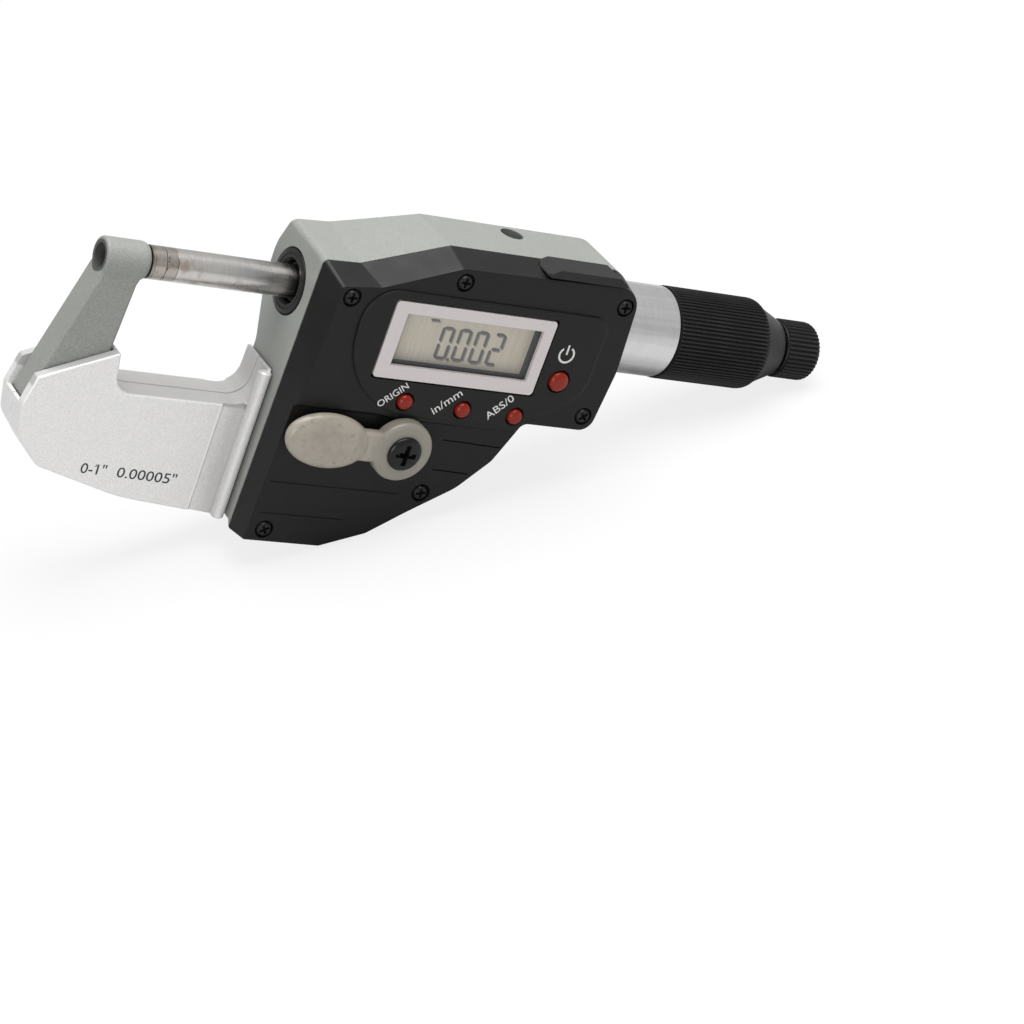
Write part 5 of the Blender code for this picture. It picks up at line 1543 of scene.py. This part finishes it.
class BuildDisplay(Step, bpy.types.Operator):
    """Display frame, window and the panel's figures."""

    bl_idname = "micrometer.build_display"
    bl_label = "Display"

    def build(self, given, tints):
        front = PANEL_FRONT - 0.1
        outer = rectangle(LCD_LEFT, LCD_RIGHT, LCD_LOW, LCD_HIGH, 0.9)
        bezel = layers(outer, (front, 0.18), (front + 0.06, 0.05), (front + 0.2, 0.0), (front + 0.8, 0.0))
        opening = rectangle(LCD_LEFT + 3.0, LCD_RIGHT - 2.5, LCD_LOW + 2.9, LCD_HIGH - 2.4, 0.1)
        cut(bezel, prism(opening, front - 1.0, front + 2.0))
        silver = bezel_finish("bezel_print", tints.bezel)
        settle("bezel_frame", bezel, "body", silver, "bezel_silver", "display_bezel")
        dress("display_window", glass_finish("clear_window"))
        dress("lcd_module", panel_finish("crystal_panel", tints.liquid))
        glass = COVER_INSIDE + SEAT
        # Painted shade: a dark border round the panel, widest at the bottom and right, stands for the frame's
        # shadow and dark reflection there.
        border = cut(
            prism(display_corners(1.1), glass - 0.05, glass - 0.01),
            prism(rectangle(42.6, 75.2, -6.7, 5.2, 0.2), glass - 1.0, glass + 1.0),
        )
        for name, shape, ink, tint in (
            ("panel_border", border, "panel_border", (0.07, 0.075, 0.085)),
            ("figure_shadows", reading(glass - 0.025, 0.3), "figure_shadow", (0.3, 0.285, 0.25)),
            ("figures", reading(glass - 0.055), "figure_dark", (0.13, 0.125, 0.125)),
        ):
            settle(name, shape, "body", print_finish(ink, tint), "lcd")


class BuildButtons(Step, bpy.types.Operator):
    """Four red push buttons."""

    bl_idname = "micrometer.build_buttons"
    bl_label = "Push buttons"

    def build(self, given, tints):
        red = glossy_finish("button_red", tints.red, 0.16)
        for name, spot in BUTTON_SPOTS.items():
            settle(name.replace("button", "cap"), button_cap(*spot), name, red, "red_button", name)


class BuildLettering(Step, bpy.types.Operator):
    """White words and the power sign beside the buttons."""

    bl_idname = "micrometer.build_lettering"
    bl_label = "Button lettering"

    def build(self, given, tints):
        depth = PANEL_FRONT - PRINT_HALF
        tall = given.print_height
        slope = math.radians(45.0)
        words = [
            lettering("ORIGIN", tall * 0.86, 45.3, -16.25, depth, slope, 0.0, 0.98),
            lettering("in/mm", tall * 1.04, 57.65, -16.45, depth, slope, 0.0, 1.1),
            lettering("ABS/0", tall * 0.98, 70.2, -16.15, depth, slope + 0.06, 0.0, 1.12),
        ]
        steps = 28
        angles = [math.radians(62.0 - 290.0 * step / steps) for step in range(steps + 1)]
        outside, inside = (
            [(82.5 + reach * math.cos(a), -0.15 + reach * math.sin(a)) for a in angles]
            for reach in (1.85, 1.42)
        )
        sign = printed(outside + inside[::-1], depth)
        tick = printed([(82.25, -0.1), (82.67, -0.1), (82.6, 2.0), (82.18, 2.0)], depth)
        settle("button_print", join(*words, sign, tick), "body", print_finish("white_print", tints.ink), None)


class BuildLever(Step, bpy.types.Operator):
    """Clamp lever and its screw."""

    bl_idname = "micrometer.build_lever"
    bl_label = "Clamp lever"

    def build(self, given, tints):
        milk = milky_finish("milky_moulding", tints.milk)
        settle("lever_moulding", lever(), "lock_lever", milk, "milk_plastic", "lock_lever")
        screw = lever_screw(LEVER_SCREW_RADIUS + 0.35, LEVER_FRONT - 1.1, 1.0, 1.7, COVER_INSIDE + 3.5)
        black = black_metal_finish("screw_black", (0.005, 0.005, 0.005), 0.22)
        settle("lever_screw_head", screw, "lock_lever", black, "black_metal", "lever_screw")


class BuildScrews(Step, bpy.types.Operator):
    """Cross-head screws of the cover and of the rear shell."""

    bl_idname = "micrometer.build_screws"
    bl_label = "Screws"

    def build(self, given, tints):
        tree = screw_tree()
        black = black_metal_finish("small_screw_black", tints.blacking, 0.34)
        front = COVER_FRONT - 0.2
        heads = [(x, front + 0.45 + screw_sink(z), z) for x, z in COVER_SCREW_SPOTS]
        rear = [(x, SHELL_HALF - 0.4, z) for x, z in PIN_SPOTS]
        for name, node, spots, height, length, facing, seed in (
            ("cover_screws", "cover_screw", heads, 0.9, FRAME_FRONT + 4.3 - front - 0.9, 0.0, 5),
            ("shell_screws", "shell_screw", rear, 0.6, SHELL_HALF + ARM_HALF - 1.5, math.pi, 9),
        ):
            screws = grow(
                points_at(spots), tree, head_radius=given.screw_head, head_height=height,
                shank_radius=THREAD_RADIUS, shank_length=length, facing=facing, seed=seed, material=black,
            )
            nodes = [f"{node}_{number + 1}" for number in range(len(spots))]
            settle(name, screws, "body", black, "black_metal", *nodes)


class BuildPort(Step, bpy.types.Operator):
    """Rubber port cover and top plug."""

    bl_idname = "micrometer.build_port"
    bl_label = "Port cover and plug"

    def build(self, given, tints):
        rubber = moulded_finish("soft_rubber", tints.rubber, 0.6, 3.5, 0.02, 0.4)
        cap = soften(port_block(0.0, COVER_FRONT - 0.45, FRAME_FRONT - 2 * SEAT), 0.5, 40.0)
        section = rectangle(PORT_LEFT + 4.8, PORT_RIGHT - 4.8, COVER_FRONT + 1.9, FRAME_FRONT - SEAT - 1.3)
        fuse(cap, column(section, BODY_TOP - 2.2, BODY_TOP - 0.7))
        settle("port_slab", cap, "body", rubber, "rubber", "port_cover")
        foot, top = BODY_TOP - 1.4, BODY_TOP - 0.1
        stopper = spun([
            (foot, PLUG_RADIUS), (BODY_TOP - 0.45, PLUG_RADIUS), (BODY_TOP - 0.2, PLUG_RADIUS - 0.1),
            (top, PLUG_RADIUS - 0.35),
        ], "Z", (KEY_X, 0, 0), 64)
        settle("key_plug", stopper, "body", rubber, "rubber", "top_plug")


class BuildSleeve(Step, bpy.types.Operator):
    """Satin sleeve between housing and thimble."""

    bl_idname = "micrometer.build_sleeve"
    bl_label = "Sleeve"

    def build(self, given, tints):
        radius = given.sleeve_radius
        bore = given.spindle_radius + 0.35
        nut = NUT_RADIUS + SEAT
        shape = turned([
            (SPIGOT_LEFT, bore), (SPIGOT_LEFT, SPIGOT_RADIUS), (SLEEVE_LEFT, SPIGOT_RADIUS),
            (SLEEVE_LEFT, radius), (SLEEVE_STEP - 0.35, radius), (SLEEVE_STEP - 0.1, radius - 0.1),
            (SLEEVE_STEP, radius - 0.3), (SLEEVE_STEP, BARREL_RADIUS), (BARREL_END, BARREL_RADIUS),
            (BARREL_END, nut), (NUT_LEFT - SEAT, nut), (NUT_LEFT - SEAT, bore),
        ], steps=128)
        chrome = ground_finish("satin_chrome", tints.chrome, 0.3, 5.0, 0.15)
        settle("sleeve_tube", shape, "body", chrome, "satin_chrome", "sleeve")


class BuildThimble(Step, bpy.types.Operator):
    """Black ribbed thimble with its cone."""

    bl_idname = "micrometer.build_thimble"
    bl_label = "Thimble"

    def build(self, given, tints):
        radius, rib = given.thimble_radius, given.rib_height
        black = black_metal_finish("thimble_black", tints.blacking, 0.36, radius)
        shape = ribbed(
            thimble_body(radius - rib), radius, rib, given.thimble_ribs, black, left=THIMBLE_LEFT + 0.15,
            length=KNURL_END - THIMBLE_LEFT - 0.05, run_out=1.8, bend_radius=3.0,
        )
        settle("thimble_barrel", shape, "thimble", black, "black_metal", "thimble")


class BuildKnob(Step, bpy.types.Operator):
    """Ribbed ratchet knob and its screw."""

    bl_idname = "micrometer.build_knob"
    bl_label = "Ratchet knob"

    def build(self, given, tints):
        radius, rib, curve = given.knob_radius, given.rib_height, given.knob_round
        black = black_metal_finish("knob_black", tints.blacking, 0.36, radius)
        shape = ribbed(
            knob_body(radius - rib, curve), radius, rib, given.knob_ribs, black, left=KNOB_LEFT + 0.15,
            length=KNOB_END - KNOB_LEFT - 0.15 - curve * 0.15, run_out=curve * 0.85, bend_radius=curve,
        )
        settle("knob_grip", shape, "ratchet_knob", black, "black_metal", "ratchet_knob")
        steel = ground_finish("screw_steel", (0.3, 0.3, 0.3), 0.35, 4.0)
        settle("knob_screw", knob_screw(), "thimble", steel, "steel", "ratchet_screw")


class BuildBatteryCap(Step, bpy.types.Operator):
    """Coin-slot battery cap in the back."""

    bl_idname = "micrometer.build_battery_cap"
    bl_label = "Battery cap"

    def build(self, given, tints):
        front = CAP_LEDGE + SEAT + 0.3 + SEAT
        back = WEB_BACK - 0.1
        rim = [(0.45, 0.0), (0.15, 0.12), (0.0, 0.4), (0.0, 1.2), (0.2, 1.35), (0.2, 1.6), (0.0, 1.75)]
        cap = turned([
            (front, 0), (front, CAP_RADIUS),
            *[(back - depth, CAP_RADIUS - inwards) for depth, inwards in rim], (back, 0),
        ], "Y", (BATTERY_X, 0, BATTERY_Z))
        slot = rectangle(BATTERY_X - 6.0, BATTERY_X + 6.0, BATTERY_Z - 0.9, BATTERY_Z + 0.9, 0.8)
        cut(cap, prism(slot, back - 1.1, back + 1.0))
        black = moulded_finish("cap_moulding", tints.moulding, 0.45, 4.5, 0.02, 0.5)
        settle("battery_lid", cap, "battery_cap", black, "black_plastic", "battery_cap")


class FinishInnerParts(Step, bpy.types.Operator):
    """Finishes for the solids inside the housing, which keep their own shape."""

    bl_idname = "micrometer.finish_inner_parts"
    bl_label = "Inner parts"

    def build(self, given, tints):
        for look, names in (
            (
                ground_finish("inner_steel", (0.5, 0.49, 0.47), 0.32, 5.0),
                "adjusting_nut battery battery_contacts key_pin lead_screw lock_cam ratchet_spring",
            ),
            (ground_finish("inner_brass", (0.58, 0.42, 0.18), 0.34, 5.0), "lead_nut lock_rod"),
            (silver_finish("inner_silver", (0.6, 0.6, 0.61)), "scale_carrier"),
            (
                moulded_finish("inner_rubber", (0.025, 0.025, 0.025), 0.7, 4.0),
                "battery_cap_seal cover_gasket thimble_seal wiper_seal",
            ),
            (
                moulded_finish("inner_black", (0.02, 0.02, 0.02), 0.5, 4.0),
                "origin_switch port_connector power_switch unit_switch zero_switch",
            ),
            (board_finish("board_lacquer", (0.02, 0.13, 0.06)), "circuit_board encoder_reader encoder_scale"),
        ):
            for name in names.split():
                dress(name, look)


class BuildStage(Step, bpy.types.Operator):
    """Pale floor, white surroundings, soft lamps and the camera."""

    bl_idname = "micrometer.build_stage"
    bl_label = "Stage"

    def build(self, given, tints):
        self.lay_floor()
        self.surround()
        self.light()
        self.aim()
        bpy.context.scene.view_settings.view_transform = "Standard"

    def lay_floor(self):
        corners = [(across, depth, -0.0002) for across, depth in ((-4, -4), (4, -4), (4, 4), (-4, 4))]
        floor = points_at(corners, [(0, 1, 2, 3)])
        floor.name = floor.data.name = "floor"
        material = bpy.data.materials.new("floor_paper")
        material.use_nodes = True
        paper = Recipe(material.node_tree)
        paper.tree.nodes.clear()
        matt = paper.node("ShaderNodeBsdfDiffuse", {"Color": (0.6, 0.6, 0.6)})
        glow = paper.node("ShaderNodeEmission", {"Color": (1.0, 1.0, 1.0), "Strength": 1.08})
        seen = paper.node("ShaderNodeLightPath", output="Is Camera Ray")
        both = paper.node("ShaderNodeMixShader", {"Fac": seen * 0.75, 1: matt, 2: glow})
        paper.node("ShaderNodeOutputMaterial", {"Surface": both})
        floor.data.materials.append(material)

    def surround(self):
        world = bpy.data.worlds.new("surroundings")
        bpy.context.scene.world = world
        world.use_nodes = True
        air = Recipe(world.node_tree)
        air.tree.nodes.clear()
        camera, gloss, through = (
            air.node("ShaderNodeLightPath", output=f"Is {kind} Ray")
            for kind in ("Camera", "Glossy", "Transmission")
        )
        seen = camera.math("MAXIMUM", (gloss * 0.35).math("MAXIMUM", through))
        glow = air.node("ShaderNodeBackground", {"Color": (1.0, 1.0, 1.0), "Strength": 0.3 + seen * 0.7})
        air.node("ShaderNodeOutputWorld", {"Surface": glow})

    def light(self):
        for name, spot, wide, power in (
            ("lamp_above", (0.12, 0.05, 0.85), 0.8, 9.2),
            ("lamp_front", (-0.7, -0.85, 0.35), 0.6, 3.5),
        ):
            lamp = bpy.data.lights.new(name, "AREA")
            lamp.shape = "DISK"
            lamp.size = wide
            lamp.energy = power
            holder = placed(name, lamp)
            holder.location = spot
            aim = Vector((0.0, 0.0, 0.03)) - Vector(spot)
            holder.rotation_euler = aim.to_track_quat("-Z", "Y").to_euler()

    def aim(self):
        camera = bpy.data.cameras.new("camera")
        camera.lens = LENS
        camera.sensor_width = 36.0
        camera.clip_start = 0.05
        camera.clip_end = 50.0
        holder = placed("camera", camera)
        ahead = Vector(LOOK_AHEAD).normalized()
        across = Vector(LOOK_RIGHT)
        across = (across - ahead * across.dot(ahead)).normalized()
        turn = Matrix((across, across.cross(ahead), -ahead)).transposed()
        rotation = (TOOL.to_3x3().normalized() @ turn).to_4x4()
        holder.matrix_world = Matrix.Translation(TOOL @ Vector(EYE)) @ rotation
        bpy.context.scene.camera = holder


STEPS = (
    BuildCasting, BuildMeasuringFaces, BuildBush, BuildShells, BuildCover, BuildDisplay, BuildButtons,
    BuildLettering, BuildLever, BuildScrews, BuildPort, BuildSleeve, BuildThimble, BuildKnob,
    BuildBatteryCap, FinishInnerParts, BuildStage,
)


class MicrometerPanel(bpy.types.Panel):
    """Sizes, colours and build steps of the micrometer."""

    bl_idname = "VIEW3D_PT_micrometer"
    bl_label = "Digital Micrometer"
    bl_space_type = "VIEW_3D"
    bl_region_type = "UI"
    bl_category = "Micrometer"

    def draw(self, context):
        for group in (context.scene.micrometer_sizes, context.scene.micrometer_colours):
            box = self.layout.box()
            for name in type(group).__annotations__:
                box.prop(group, name)
        for step in STEPS:
            self.layout.operator(step.bl_idname)


CLASSES = (MicrometerSizes, MicrometerColours, *STEPS, MicrometerPanel)


def register():
    for kind in CLASSES:
        bpy.utils.register_class(kind)
    bpy.types.Scene.micrometer_sizes = PointerProperty(type=MicrometerSizes)
    bpy.types.Scene.micrometer_colours = PointerProperty(type=MicrometerColours)


def unregister():
    del bpy.types.Scene.micrometer_colours
    del bpy.types.Scene.micrometer_sizes
    for kind in reversed(CLASSES):
        bpy.utils.unregister_class(kind)


def main():
    register()
    for step in STEPS:
        group, name = step.bl_idname.split(".")
        getattr(getattr(bpy.ops, group), name)()


if __name__ == "__main__":
    main()
